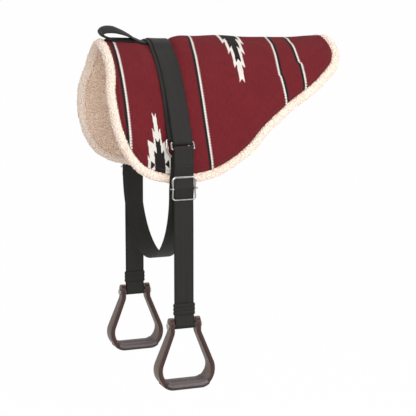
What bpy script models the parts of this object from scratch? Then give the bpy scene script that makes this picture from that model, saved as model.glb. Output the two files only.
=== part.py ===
# A western bareback pad: a padded blanket with fleece underneath and round its edge, two
# webbing straps over the withers, a grab handle, a girth, and two stirrups on straps whose
# length is set with slide buckles. X runs along the horse from front (-) to tail (+), the
# near (left) side is -Y, and Z is up. The origin is under the pad's ridge at half its length,
# where it rests on the horse's spine.

import math

import bmesh
import bpy
from mathutils import Vector

for old in list(bpy.data.objects):
    bpy.data.objects.remove(old, do_unlink=True)

# Clearances and webbing, shared by every strap
gap = 0.0003
seat_gap = 0.0008
webbing_width = 0.0508
webbing_thickness = 0.0022
layer_pitch = webbing_thickness + gap
wire_radius = 0.0025
fold_radius = wire_radius + gap + webbing_thickness / 2

# Pad: the section across the horse is (b/half_width)^(2/power) + (1 - drop/section_height)^2 = 1
tail_reach = 0.325
half_width = 0.1808
section_height = 0.350
flap_drop = 0.330
front_power = 1.12
rear_power = 1.125
cover_thickness = 0.003
foam_thickness = 0.0095
lining_thickness = 0.0119
roll_radius = 0.012
crest_fall = 0.010
foam_top = cover_thickness + gap
lining_top = foam_top + foam_thickness + gap
pad_thickness = lining_top + lining_thickness

# Height of the ridge along the pad: (share of tail_reach, share of crest_fall)
crest_shares = ((-1.0, -0.3), (-0.62, -0.74), (-0.22, 0.0), (0.0, 0.0), (0.437, -0.76),
                (0.683, -0.89), (1.0, -0.64))

# Edge of the pad from the ridge at the front, round one flap, to the ridge at the tail:
# (share of the tail's distance, share of flap_drop)
edge_shares = ((-0.936, 0.0), (-0.936, 0.18), (-0.97, 0.38), (-0.935, 0.668), (-0.796, 0.898),
               (-0.553, 0.996), (-0.36, 1.015), (-0.157, 0.983), (0.093, 0.848), (0.295, 0.656),
               (0.513, 0.495), (0.651, 0.415), (0.84, 0.297), (1.0, 0.145), (1.0, 0.0))
front_knot, tail_knot = 4, 13

# Where the straps cross the withers, and how deep they sink into the pad there
over_strap_x = -0.446 * tail_reach
strap_stagger = 0.009
under_strap_x = over_strap_x - strap_stagger
seat_front_depth = 0.009
seat_rear_depth = 0.016
seat_margin = 0.005
seat_shoulder = 0.028

# Dee rings of the girth and rings of the stirrup straps: levels below the crossing's top
dee_bar_drop = 0.234
dee_lean = 0.0066
dee_inner_half = 0.0255
dee_leg = 0.016
ring_bar_fall = 0.006
ring_inner_half = 0.0262
ring_height = 0.022
sewn_back = 0.040

# Stirrup straps: levels of the buckle and the stirrup bolt, and the keeper's height over it
buckle_drop = 0.351
buckle_half_height = 0.0276
buckle_wire_radius = 0.00225
buckle_corner_half = 0.0295
buckle_waist_half = 0.0281
buckle_corner_radius = 0.007
bar_radius = 0.00215
keeper_height = 0.028
keeper_wall = 0.0012
keeper_ridge = 0.0010
bolt_drop = 0.692
keeper_rise = 0.0405
keeper_drop = bolt_drop - keeper_rise

# Stirrups
sleeve_radius = 0.00635
bolt_radius = 0.0039
neck_half = 0.028
stirrup_half_width = 0.075
stirrup_wood = 0.0125
stirrup_height = 0.170
post_depth = 0.034
tread_depth = 0.051
tread_half = 0.045
leather = 0.0018
tread_cover_half = 0.052
tread_ridge = 0.0016
edge_chamfer = 0.0022
shoulder_bend, widest_bend, tread_bend = 0.022, 0.026, 0.020
bolt_head_radius = 0.0085
bolt_head_height = 0.0040
nut_radius = 0.0075

# Levels of the stirrup, as shares of its height below the posts' tops
bolt_share, shoulder_share, widest_share = 0.1235, 0.212, 0.7235
post_top_drop = bolt_drop - bolt_share * stirrup_height
shoulder_drop = post_top_drop + shoulder_share * stirrup_height
widest_drop = post_top_drop + widest_share * stirrup_height
tread_drop = post_top_drop + stirrup_height

# Girth: a U of webbing, gathered where it goes round the bow of each dee
girth_bottom_drop = 0.5555
girth_plane_gap = 0.0036
girth_sewn_back = 0.028
gathered_half_angle = math.radians(35)
girth_slack = 0.0007

# Handle: a loop of webbing on the ridge, its places measured from the strap crossing's top
handle_tuck = 0.005
handle_end_x = over_strap_x - handle_tuck
handle_setback = 0.006
handle_front_x = edge_shares[0][0] * (tail_reach - roll_radius) + handle_setback
handle_height = 0.0325


def ease(share):
    share = min(max(share, 0.0), 1.0)
    return share * share * (3 - 2 * share)


def stepped(table, share):
    """Height at a share along a table, easing from each of its points to the next."""
    for (low, value), (high, following) in zip(table, table[1:]):
        if share <= high:
            return value + (following - value) * ease((share - low) / (high - low))
    return table[-1][1]


def smooth_path(points, steps):
    """A curve through all the points (Catmull-Rom), with so many steps between neighbours."""
    ends = [2 * points[0] - points[1]] + list(points) + [2 * points[-1] - points[-2]]
    path = []
    for a, b, c, d in zip(ends, ends[1:], ends[2:], ends[3:]):
        for step in range(steps):
            s = step / steps
            path.append(0.5 * (2 * b + (c - a) * s + (2 * a - 5 * b + 4 * c - d) * s * s
                               + (3 * b - 3 * c + d - a) * s * s * s))
    path.append(points[-1].copy())
    return path


def arc(centre, radius, start, end, steps):
    """Points on an arc in a plane, angles in degrees from the first axis."""
    turns = [math.radians(start + (end - start) * step / steps) for step in range(steps + 1)]
    return [centre + radius * Vector((math.cos(turn), math.sin(turn))) for turn in turns]


def wrapped(centre, radius, before, after, turning, steps):
    """The arc of webbing round a bar, between the tangents from one point and to the next.
    Turning is 1 where the webbing goes round anticlockwise, and -1 the other way."""
    arriving, leaving = before - centre, after - centre
    start = math.atan2(arriving.y, arriving.x) + turning * math.acos(radius / arriving.length)
    end = math.atan2(leaving.y, leaving.x) - turning * math.acos(radius / leaving.length)
    sweep = (turning * (end - start)) % (2 * math.pi)
    return arc(centre, radius, math.degrees(start), math.degrees(start + turning * sweep), steps)


# The pad's outer surface

seat_front = under_strap_x - webbing_width / 2 - seat_margin
seat_rear = over_strap_x + webbing_width / 2 + seat_margin
shoulder_front, shoulder_rear = seat_front - seat_shoulder, seat_rear + seat_shoulder
seat_depths = ((shoulder_front, 0.0), (seat_front, seat_front_depth),
               (seat_rear, seat_rear_depth), (shoulder_rear, 0.0))


def ridge(x):
    """Height of the cover on the ridge, before the straps press into it."""
    return pad_thickness + crest_fall * stepped(crest_shares, x / tail_reach)


def pressed(x):
    """Depth of the seat that the straps press into the ridge."""
    return stepped(seat_depths, x)


def crest(x):
    return ridge(x) - pressed(x)


def power(x):
    return front_power + (rear_power - front_power) * (x / tail_reach + 1) / 2


def unpressed(x, turn):
    """A point of the cover without its seat: turn is 0 on the ridge, negative on the near
    flap."""
    reach = half_width * math.sin(abs(turn)) ** power(x)
    height = ridge(x) - section_height * (1 - math.cos(turn))
    return Vector((x, math.copysign(reach, turn), height))


def outer(x, turn):
    """A point of the cover. The seat fades away down the flaps."""
    return unpressed(x, turn) - Vector((0.0, 0.0, pressed(x) * math.cos(turn) ** 2))


def outward(x, turn, surface=outer):
    """A surface's normal, taken from points a little way either side."""
    nudge, tilt = tail_reach / 2500, 0.01
    side = 1 if turn >= 0 else -1
    along = surface(x + nudge, turn) - surface(x - nudge, turn)
    if abs(turn) < 2 * tilt:
        flat = along.cross(Vector((0, 1, 0)))
        flat.y = 0
        return flat.normalized()
    down = surface(x, turn + side * tilt) - surface(x, turn - side * tilt)
    return (along.cross(down) * side).normalized()


def inside(x, turn, depth):
    """A point inside the pad. The foam and the fleece give way under the seat, so each layer
    below the cover sinks less than the one above it."""
    if depth <= foam_top:
        given = 1.0
    else:
        given = 0.6 if depth < pad_thickness else 0.3
    down = pressed(x) * math.cos(turn) ** 2 * given
    return unpressed(x, turn) - outward(x, turn, unpressed) * depth - Vector((0.0, 0.0, down))


def turn_for_drop(drop):
    return math.acos(1 - drop / section_height)


def turn_at(x, z):
    """The turn at which the cover reaches a height, seat and all."""
    level_share = 1.0
    for attempt in range(6):
        level_share = 1 - (ridge(x) - z - pressed(x) * level_share ** 2) / section_height
    return math.acos(level_share)


crossing_top = crest(over_strap_x) + 2 * seat_gap + 3 * layer_pitch + webbing_thickness


def level(drop):
    """Height of a place that lies so far below the top of the strap crossing."""
    return crossing_top - drop


def flank(x, z):
    """How far from the middle plane the cover lies at a height."""
    return outer(x, turn_at(x, z)).y


# The pad's edge, as (x, turn), then as the roll's path and as the inset edge of the layers
middle_depth = pad_thickness / 2
edge_reach = tail_reach - roll_radius
edge_knots = [Vector((edge_reach * along, turn_for_drop(flap_drop * drop)))
              for along, drop in edge_shares]
edge_steps = 3
edge_path = smooth_path(edge_knots, edge_steps)


def edge_inset(index, distance):
    """The edge moved inwards over the pad's middle layer, as (x, turn)."""
    place = edge_path[index]
    nudge, tilt = tail_reach / 2500, 0.004
    here = max(place.y, 2 * tilt)
    along = (inside(place.x + nudge, here, middle_depth)
             - inside(place.x - nudge, here, middle_depth)) / (2 * nudge)
    down = (inside(place.x, here + tilt, middle_depth)
            - inside(place.x, here - tilt, middle_depth)) / (2 * tilt)
    before = edge_path[max(index - 1, 0)]
    after = edge_path[min(index + 1, len(edge_path) - 1)]
    heading = along * (after.x - before.x) + down * (after.y - before.y)
    inward = heading.cross(outward(place.x, here)).normalized()
    if inward.dot(Vector((place.x, 0, 0)) + down * here) > 0:
        inward.negate()
    move_x = inward.dot(along) / along.length_squared
    move_turn = inward.dot(down) / down.length_squared
    return Vector((place.x + distance * move_x, place.y + distance * move_turn))


layer_inset = roll_radius + seat_gap + 3 * gap
inset_edge = [edge_inset(index, layer_inset) for index in range(len(edge_path))]

# The edge's four stretches: the ridge, down the front, along the bottom, up at the tail
front_corner, tail_corner = front_knot * edge_steps, tail_knot * edge_steps
front_stretch = inset_edge[:front_corner + 1]
bottom_stretch = inset_edge[front_corner:tail_corner + 1]
tail_stretch = list(reversed(inset_edge[tail_corner:]))
layer_front, layer_tail = front_stretch[0].x, tail_stretch[0].x


def at_share(points, share):
    """The point of (x, turn) at a share of the way along a stretch of the edge."""
    steps = [math.hypot(b.x - a.x, section_height * (b.y - a.y))
             for a, b in zip(points, points[1:])]
    left = share * sum(steps)
    for (a, b), step in zip(zip(points, points[1:]), steps):
        if left <= step:
            return a.lerp(b, left / step)
        left -= step
    return points[-1].copy()


def turn_along(points, x):
    """The turn at a place along the pad, on a stretch that runs from front to tail."""
    for a, b in zip(points, points[1:]):
        if x <= b.x:
            return a.y + (b.y - a.y) * max(x - a.x, 0.0) / (b.x - a.x)
    return points[-1].y


def between_ends(x, front, tail):
    """A column's place moved so the first column lies at front and the last at tail, while
    the columns by the straps keep their places."""
    if x < shoulder_front:
        share = (x - layer_front) / (shoulder_front - layer_front)
        return front + (shoulder_front - front) * share
    if x > shoulder_rear:
        share = (x - shoulder_rear) / (layer_tail - shoulder_rear)
        return shoulder_rear + (tail - shoulder_rear) * share
    return x


def filled(x, down):
    """A place inside the edge, as (x, turn), on a column and at a share down from the ridge."""
    front, tail = at_share(front_stretch, down), at_share(tail_stretch, down)
    low = between_ends(x, bottom_stretch[0].x, bottom_stretch[-1].x)
    front_share, tail_share = front.y / front_stretch[-1].y, tail.y / tail_stretch[-1].y
    along = (x - layer_front) / (layer_tail - layer_front)
    share = front_share + (tail_share - front_share) * along
    return Vector((between_ends(x, front.x, tail.x), turn_along(bottom_stretch, low) * share))


# Making objects

materials = {}


def material(name, colour, roughness, metallic=0.0):
    made = bpy.data.materials.new(name)
    made.use_nodes = True
    shader = made.node_tree.nodes["Principled BSDF"]
    shader.inputs["Base Color"].default_value = (*colour, 1.0)
    shader.inputs["Roughness"].default_value = roughness
    shader.inputs["Metallic"].default_value = metallic
    materials[name] = made


material("blanket", (0.20, 0.022, 0.028), 0.9)
material("foam", (0.75, 0.72, 0.62), 0.95)
material("fleece", (0.86, 0.74, 0.62), 1.0)
material("webbing", (0.030, 0.029, 0.027), 0.7)
material("steel", (0.62, 0.62, 0.64), 0.25, 1.0)
material("wood", (0.075, 0.028, 0.020), 0.45)
material("leather", (0.14, 0.10, 0.095), 0.6)


def add_object(name, mesh, slot, smooth_angle=40.0):
    mesh.materials.append(materials[slot])
    made = bpy.data.objects.new(name, mesh)
    bpy.context.scene.collection.objects.link(made)
    mesh.shade_smooth()
    mesh.set_sharp_from_angle(angle=math.radians(smooth_angle))
    return made


def mesh_from(name, points, faces):
    mesh = bpy.data.meshes.new(name)
    mesh.from_pydata([tuple(p) for p in points], [], faces)
    shape = bmesh.new()
    shape.from_mesh(mesh)
    bmesh.ops.recalc_face_normals(shape, faces=shape.faces)
    shape.to_mesh(mesh)
    shape.free()
    return mesh


def sheet_between(name, top_rows, bottom_rows, slot):
    """A closed sheet between two grids of points of the same size."""
    rows, across = len(top_rows), len(top_rows[0])
    points = [p for row in top_rows for p in row] + [p for row in bottom_rows for p in row]
    under = rows * across
    faces = []
    for i in range(rows - 1):
        for j in range(across - 1):
            a, b = i * across + j, i * across + j + 1
            c, d = b + across, a + across
            faces += [(a, b, c, d), (under + a, under + d, under + c, under + b)]
    rim = ([(i, 0) for i in range(rows)] + [(rows - 1, j) for j in range(1, across)]
           + [(i, across - 1) for i in range(rows - 2, -1, -1)]
           + [(0, j) for j in range(across - 2, 0, -1)])
    for (i, j), (k, m) in zip(rim, rim[1:] + rim[:1]):
        a, b = i * across + j, k * across + m
        faces.append((a, b, under + b, under + a))
    return add_object(name, mesh_from(name, points, faces), slot)


def ribbon(name, rows, slot="webbing", thickness=webbing_thickness):
    """Webbing along rows of points that lie in the middle of its thickness."""
    tops, bottoms = [], []
    for i, row in enumerate(rows):
        before, after = rows[max(i - 1, 0)], rows[min(i + 1, len(rows) - 1)]
        top, bottom = [], []
        for j, point in enumerate(row):
            forward = ((after[j] - point).normalized() if i < len(rows) - 1 else Vector())
            backward = ((point - before[j]).normalized() if i else Vector())
            across = row[min(j + 1, len(row) - 1)] - row[max(j - 1, 0)]
            normal = (forward + backward).cross(across).normalized() * (thickness / 2)
            top.append(point + normal)
            bottom.append(point - normal)
        tops.append(top)
        bottoms.append(bottom)
    return sheet_between(name, tops, bottoms, slot)


def wire(name, path, radius, slot="steel", closed=True, radii=None, sides=2):
    """A round wire or tube along a path, as a mesh."""
    curve = bpy.data.curves.new(name, "CURVE")
    curve.dimensions = "3D"
    curve.bevel_depth = radius
    curve.bevel_resolution = sides
    curve.use_fill_caps = not closed
    line = curve.splines.new("POLY")
    line.points.add(len(path) - 1)
    for index, point in enumerate(path):
        line.points[index].co = (*point, 1.0)
        line.points[index].radius = radii[index] if radii else 1.0
    line.use_cyclic_u = closed
    holder = bpy.data.objects.new(name, curve)
    bpy.context.scene.collection.objects.link(holder)
    depsgraph = bpy.context.evaluated_depsgraph_get()
    mesh = bpy.data.meshes.new_from_object(holder.evaluated_get(depsgraph))
    bpy.data.objects.remove(holder, do_unlink=True)
    shape = bmesh.new()
    shape.from_mesh(mesh)
    bmesh.ops.remove_doubles(shape, verts=shape.verts, dist=gap / 10)
    bmesh.ops.recalc_face_normals(shape, faces=shape.faces)
    shape.to_mesh(mesh)
    shape.free()
    mesh.materials.clear()
    return add_object(name, mesh, slot)


def rounded_corners(corners, steps):
    """A closed or open outline from (point, corner radius), with an arc at each corner."""
    path = []
    for index, (corner, radius) in enumerate(corners):
        before = corners[index - 1][0]
        after = corners[(index + 1) % len(corners)][0]
        if not radius:
            path.append(corner)
            continue
        back, on = (before - corner).normalized(), (after - corner).normalized()
        half = back.angle(on) / 2
        centre = corner + (back + on).normalized() * (radius / math.sin(half))
        start = corner + back * (radius / math.tan(half)) - centre
        end = corner + on * (radius / math.tan(half)) - centre
        for step in range(steps + 1):
            share = step / steps
            sweep = start.angle(end)
            path.append(centre + (start * math.sin((1 - share) * sweep)
                                  + end * math.sin(share * sweep)) / math.sin(sweep))
    return path


def around(rows_2d, x_middle, side, half=webbing_width / 2):
    """Rows of webbing that lies across X, from (distance from the middle plane, height)."""
    return [[Vector((x_middle + half * s, side * b, z)) for s in (-1, 1)] for b, z in rows_2d]


# The padded layers

row_count = 9

# Stretches of columns: (end, columns, crowding towards that end)
stretches = ((shoulder_front, 4, -0.6), (seat_front, 4, 0.0), (seat_rear, 2, 0.0),
             (shoulder_rear, 4, 0.0), (layer_tail, 10, 0.6))
column_places = [layer_front]
for end, steps, crowding in stretches:
    start = column_places[-1]
    for step in range(1, steps + 1):
        share = step / steps
        crowded = share + crowding * math.sin(math.pi * share) / math.pi
        column_places.append(start + (end - start) * crowded)


def layer(name, top_depth, bottom_depth, slot):
    grids = []
    for depth in (top_depth, bottom_depth):
        grid = []
        for x in column_places:
            down = [filled(x, row / row_count) for row in range(row_count + 1)]
            off_half = [inside(p.x, p.y, depth) for p in down]
            near_half = [inside(p.x, -p.y, depth) for p in reversed(down[1:])]
            grid.append(near_half + off_half)
        grids.append(grid)
    return sheet_between(name, grids[0], grids[1], slot)


layer("top_cover", 0.0, cover_thickness, "blanket")
layer("foam_core", foam_top, foam_top + foam_thickness, "foam")
layer("fleece_lining", lining_top, pad_thickness, "fleece")

# The fleece roll that binds the edge: one closed loop round both flaps
near_edge = [inside(p.x, -p.y, middle_depth) for p in edge_path]
off_edge = [Vector((p.x, -p.y, p.z)) for p in reversed(near_edge[1:-1])]
wire("edge_roll", near_edge + off_edge, roll_radius, "fleece")

# The two straps over the withers. Both rise over the handle's ends, which they hold down.
handle_stack = 2 * layer_pitch + seat_gap
rise_inner = webbing_width / 2 + 0.1 * webbing_width
rise_outer = rise_inner + 0.45 * webbing_width
leave_drop = 0.185
leave_turn = turn_at(under_strap_x, level(leave_drop))
surface_steps = 15


def surface_rows(x_middle, count, lift):
    """Rows of webbing that follows the pad from the ridge down one flank."""
    rows = []
    for step in range(count + 1):
        turn = leave_turn * step / surface_steps
        reach = outer(x_middle, turn).y
        raised = lift + handle_stack * (1 - ease((reach - rise_inner) / (rise_outer - rise_inner)))
        rows.append([outer(x_middle + s * webbing_width / 2, turn)
                     + outward(x_middle + s * webbing_width / 2, turn) * raised for s in (-1, 1)])
    return rows


def plane_point(row):
    """Where a row of webbing lies in the plane across the horse."""
    middle = (row[0] + row[-1]) / 2
    return Vector((middle.y, middle.z))


def falling(x_middle, start, end, steps):
    """A path down beside the flank, from one point to another, as its distance from the
    cover goes from the one's to the other's."""
    lift_start = start.x - flank(x_middle, start.y)
    lift_end = end.x - flank(x_middle, end.y)
    path = []
    for step in range(steps + 1):
        z = start.y + (end.y - start.y) * step / steps
        lift = lift_start + (lift_end - lift_start) * ease(step / steps)
        path.append(Vector((flank(x_middle, z) + lift, z)))
    return path


def beside(path, distance):
    """The same plane path, moved sideways by a distance (to the left of its heading)."""
    moved = []
    for index, point in enumerate(path):
        heading = path[min(index + 1, len(path) - 1)] - path[max(index - 1, 0)]
        moved.append(point + Vector((-heading.y, heading.x)).normalized() * distance)
    return moved


def across_the_withers(name, off_half):
    """One strap: the off half from its end up to the ridge, then its mirror image."""
    near_half = [[Vector((p.x, -p.y, p.z)) for p in row] for row in off_half[1:]]
    return ribbon(name, list(reversed(off_half)) + near_half)


# The under strap ends in a fold that holds the girth's dee; its end is sewn back outside
under_lift = seat_gap + webbing_thickness / 2
dee_bar = Vector((flank(under_strap_x, level(dee_bar_drop)) + seat_gap + webbing_thickness
                  + fold_radius, level(dee_bar_drop)))
under_rows = surface_rows(under_strap_x, surface_steps, under_lift)
under_fall = falling(under_strap_x, plane_point(under_rows[-1]),
                     dee_bar + Vector((-fold_radius, 2 * fold_radius)), 5)
under_back = [p for p in reversed(beside(under_fall, layer_pitch))
              if dee_bar.y + 3.5 * fold_radius < p.y < dee_bar.y + sewn_back]
under_fold = wrapped(dee_bar, fold_radius, under_fall[-1], under_back[0], 1, 9)
under_end = under_fall[1:] + under_fold + under_back
across_the_withers("under_strap", under_rows + around(under_end, under_strap_x, 1))

# The over strap lies on it, further back, and ends in a fold round the stirrup ring's upper
# bar; its end is sewn back inside
dee_bow_reach = dee_inner_half + wire_radius
lean_share = dee_lean / (dee_leg + dee_bow_reach)
folds_apart = 2 * fold_radius + webbing_thickness + gap + seat_gap
ring_bar = dee_bar + Vector((math.sqrt(folds_apart ** 2 - ring_bar_fall ** 2), -ring_bar_fall))
over_rows = surface_rows(over_strap_x, surface_steps - 3, under_lift + layer_pitch)
beside_dee = dee_bar + Vector((fold_radius + webbing_thickness + 1.5 * layer_pitch,
                               2 * fold_radius))
sewn_level = level(dee_bar_drop - 0.8 * sewn_back)
beside_sewn = Vector((flank(under_strap_x, sewn_level) + seat_gap + 4.6 * layer_pitch, sewn_level))
over_fall = falling(over_strap_x, plane_point(over_rows[-1]), beside_sewn, 4)
over_fall += smooth_path([over_fall[-2], beside_sewn, beside_dee,
                          ring_bar + Vector((fold_radius, fold_radius))], 3)[4:]
over_back = [p for p in reversed(beside(over_fall, -layer_pitch))
             if ring_bar.y + 3 * fold_radius < p.y < ring_bar.y + sewn_back]
over_fold = wrapped(ring_bar, fold_radius, over_fall[-1], over_back[0], -1, 9)
over_end = over_fall[1:] + over_fold + over_back
across_the_withers("over_strap", over_rows + around(over_end, over_strap_x, 1))

# The stirrup ring leans out over the girth and its dee, so its lower bar hangs further out
girth_plane = half_width + girth_plane_gap + webbing_thickness / 2
girth_fold = wire_radius + girth_slack + webbing_thickness / 2
back_plane = dee_bar.x + dee_lean + girth_fold + webbing_thickness + 2 * gap
ring_step = ring_height - 2 * wire_radius
ring_lean = back_plane + fold_radius - ring_bar.x
ring_low = ring_bar + Vector((ring_lean, -math.sqrt(ring_step ** 2 - ring_lean ** 2)))
front_plane = ring_low.x + fold_radius
bar_fold_radius = bar_radius + gap + webbing_thickness / 2
buckle_bar = Vector((back_plane + bar_fold_radius, level(buckle_drop)))
strap_plane = back_plane + 2 * layer_pitch
frame_plane = strap_plane + webbing_thickness / 2 + gap + buckle_wire_radius
over_bar_plane = buckle_bar.x + bar_fold_radius + layer_pitch
bolt = Vector((strap_plane + layer_pitch / 2, level(bolt_drop)))
loop_radius = sleeve_radius + gap + webbing_thickness / 2

for side, hand in ((-1, "near"), (1, "off")):
    # Dee: a straight bar in the strap's fold, two short legs and a half-round bow
    corner = dee_bow_reach - webbing_width / 2
    flat_path = rounded_corners([(Vector((-dee_bow_reach, -dee_leg)), 0),
                                 (Vector((-dee_bow_reach, 0.0)), corner),
                                 (Vector((dee_bow_reach, 0.0)), corner),
                                 (Vector((dee_bow_reach, -dee_leg)), 0)], 3)
    flat_path += arc(Vector((0.0, -dee_leg)), dee_bow_reach, 0, -180, 14)[1:-1]
    wire(hand + "_dee", [Vector((under_strap_x + p.x, side * (dee_bar.x - p.y * lean_share),
                                 dee_bar.y + p.y)) for p in flat_path], wire_radius)

    # Ring: a rectangle of wire between the over strap and the stirrup strap
    ring_half = ring_inner_half + wire_radius
    corner = ring_half - webbing_width / 2 - gap
    outline = rounded_corners([(Vector((-ring_half, 0.0)), corner),
                               (Vector((ring_half, 0.0)), corner),
                               (Vector((ring_half, -ring_step)), corner),
                               (Vector((-ring_half, -ring_step)), corner)], 3)
    ring_across = (ring_low - ring_bar) / ring_step
    wire(hand + "_strap_ring",
         [Vector((over_strap_x + p.x, side * (ring_bar.x - p.y * ring_across.x),
                  ring_bar.y - p.y * ring_across.y)) for p in outline], wire_radius)

    # Upper strap: sewn round the buckle's bar, up behind, over the ring and down in front
    sewn_top = Vector((back_plane + layer_pitch, buckle_bar.y + sewn_back))
    sewn_low = Vector((back_plane + layer_pitch, buckle_bar.y + 3.5 * bar_fold_radius))
    behind = [Vector((back_plane, buckle_bar.y + 2 * bar_fold_radius)),
              Vector((back_plane, ring_low.y - fold_radius))]
    upper = [sewn_top, sewn_low]
    upper += wrapped(buckle_bar, bar_fold_radius, sewn_low, behind[0], -1, 9) + behind
    bar_front = Vector((over_bar_plane, buckle_bar.y))
    stub = Vector((0.0, bar_fold_radius / 2))
    front_shares = (0.1, 0.5, 1.0)
    front = [Vector((front_plane, ring_low.y - share * sewn_back)) for share in front_shares]
    upper += wrapped(ring_low, fold_radius, behind[-1], front[0], -1, 9) + front[:1]
    behind_top = Vector((strap_plane, buckle_bar.y + buckle_half_height))
    upper += smooth_path(front[1:] + [behind_top, bar_front + stub], 4)
    upper += [bar_front + Vector((0.0, gap / 2))]
    ribbon(hand + "_strap_loop", around(upper, over_strap_x, side))

    # Lower strap: over the bar, behind the buckle's foot, down and round the stirrup bolt
    behind_foot = Vector((strap_plane, buckle_bar.y - buckle_half_height))
    keeper_low = level(keeper_drop) - 0.6 * keeper_height
    lower = [bar_front - Vector((0.0, gap / 2))]
    lower += smooth_path([bar_front - stub, behind_foot,
                          behind_foot - Vector((0.0, buckle_half_height))], 4)
    lower += [Vector((strap_plane, level(keeper_drop) + share * sewn_back)) for share in (2, 0.5)]
    lower += [Vector((strap_plane, keeper_low))]
    tail = [Vector((strap_plane + layer_pitch, keeper_low)),
            Vector((strap_plane + layer_pitch, level(keeper_drop) + 0.2 * keeper_height))]
    lower += wrapped(bolt, loop_radius, lower[-1], tail[0], 1, 14) + tail
    ribbon(hand + "_stirrup_strap", around(lower, over_strap_x, side))

    # Buckle frame: heavier above the bar than below it, drawn in at the bar
    corners = [(Vector((-buckle_corner_half, buckle_half_height)), buckle_corner_radius),
               (Vector((buckle_corner_half, buckle_half_height)), buckle_corner_radius),
               (Vector((buckle_waist_half, 0.0)), 2 * buckle_corner_radius),
               (Vector((buckle_corner_half, -buckle_half_height)), buckle_corner_radius),
               (Vector((-buckle_corner_half, -buckle_half_height)), buckle_corner_radius),
               (Vector((-buckle_waist_half, 0.0)), 2 * buckle_corner_radius)]
    outline = rounded_corners(corners, 4)
    weights = [1.0 if p.y > 0 else 0.8 for p in outline]
    wire(hand + "_buckle_frame",
         [Vector((over_strap_x + p.x, side * frame_plane, buckle_bar.y + p.y)) for p in outline],
         buckle_wire_radius, radii=weights)

    # Buckle bar: its ends curl round the frame's sides to the front
    eye = frame_plane - buckle_bar.x
    curl = arc(Vector((buckle_waist_half, frame_plane)), eye, -90, 100, 7)
    half_bar = [Vector((0.0, buckle_bar.x)), Vector((buckle_waist_half * 0.6, buckle_bar.x))] + curl
    bar_path = [Vector((-p.x, p.y)) for p in reversed(half_bar[1:])] + half_bar
    wire(hand + "_buckle_bar",
         [Vector((over_strap_x + p.x, side * p.y, buckle_bar.y)) for p in bar_path],
         bar_radius, closed=False)

    # Keeper: a band of webbing with three ridges round both layers of the strap
    band_middle = strap_plane + layer_pitch / 2
    inner_half = webbing_width / 2 + gap
    inner_depth = layer_pitch / 2 + webbing_thickness / 2 + gap
    rings = []
    ridge_steps = 12
    for step in range(ridge_steps + 1):
        swell = keeper_wall + keeper_ridge * abs(math.sin(3 * math.pi * step / ridge_steps))
        rings.append((step / ridge_steps, swell))
    loops = [(share, swell) for share, swell in rings] + [(1.0, 0.0), (0.0, 0.0)]
    points, faces = [], []
    for share, swell in loops:
        height = level(keeper_drop) + keeper_height * (share - 0.5)
        half, depth = inner_half + swell, inner_depth + swell
        for sx, sy in ((-1, -1), (1, -1), (1, 1), (-1, 1)):
            points.append(Vector((over_strap_x + sx * half,
                                  side * (band_middle + sy * depth), height)))
    count = len(loops)
    for i in range(count):
        for j in range(4):
            k, m = (i + 1) % count, (j + 1) % 4
            faces.append((i * 4 + j, i * 4 + m, k * 4 + m, k * 4 + j))
    add_object(hand + "_strap_keeper", mesh_from("keeper", points, faces), "webbing")

    # Stirrup: a band of bent wood, wider at the tread than at the posts
    wood_half = stirrup_wood / 2
    post_x = neck_half + wood_half
    knee = Vector((stirrup_half_width - 0.55 * wood_half, level(widest_drop)))
    foot = Vector((tread_half, level(tread_drop) + wood_half))
    corners = [(Vector((post_x, level(post_top_drop))), 0),
               (Vector((post_x, level(shoulder_drop))), shoulder_bend),
               (knee, widest_bend), (foot, tread_bend), (Vector((0.0, foot.y)), 0)]
    half_path = rounded_corners(corners, 5)
    crown = post_depth / 2
    post = [Vector((post_x, level(post_top_drop) - crown * (1 - math.cos(math.radians(a)))))
            for a in (12, 35, 60, 90)]
    half_path = post + half_path[1:]
    path = half_path + [Vector((-p.x, p.y)) for p in reversed(half_path[:-1])]

    def station(index, grow, ridge):
        """One section of the bent band: chamfered corners, with an optional ridge inside."""
        here = path[index]
        heading = (path[min(index + 1, len(path) - 1)] - path[max(index - 1, 0)]).normalized()
        normal = Vector((-heading.y, heading.x))
        fall = (level(post_top_drop) - here.y) / (tread_drop - post_top_drop)
        wide = post_depth + (tread_depth - post_depth) * ease(1.15 * fall - 0.1)
        above = here.y - (level(post_top_drop) - crown)
        if above > 0:
            wide = 2 * math.sqrt(crown ** 2 - above ** 2)
        half, depth = wide / 2 + grow, wood_half + grow
        cut = edge_chamfer
        profile = [(-half, depth - cut), (-half + cut, depth), (half - cut, depth),
                   (half, depth - cut), (half, -depth + cut), (half - cut, -depth),
                   (0.0, -depth - ridge), (-half + cut, -depth), (-half, -depth + cut)]
        return [Vector((over_strap_x + here.x + normal.x * v, side * bolt.x + u,
                        here.y + normal.y * v)) for u, v in profile]

    def tube_faces(loop_count, size, first=0):
        return [(first + i * size + j, first + i * size + (j + 1) % size,
                 first + (i + 1) * size + (j + 1) % size, first + (i + 1) * size + j)
                for i in range(loop_count - 1) for j in range(size)]

    loops = [station(index, 0.0, 0.0) for index in range(len(path))]
    size = len(loops[0])
    points = [p for loop in loops for p in loop]
    faces = tube_faces(len(loops), size)
    faces += [tuple(range(size)), tuple(range((len(loops) - 1) * size, len(loops) * size))]
    frame = add_object(hand + "_stirrup_frame", mesh_from("stirrup", points, faces), "wood")

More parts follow.
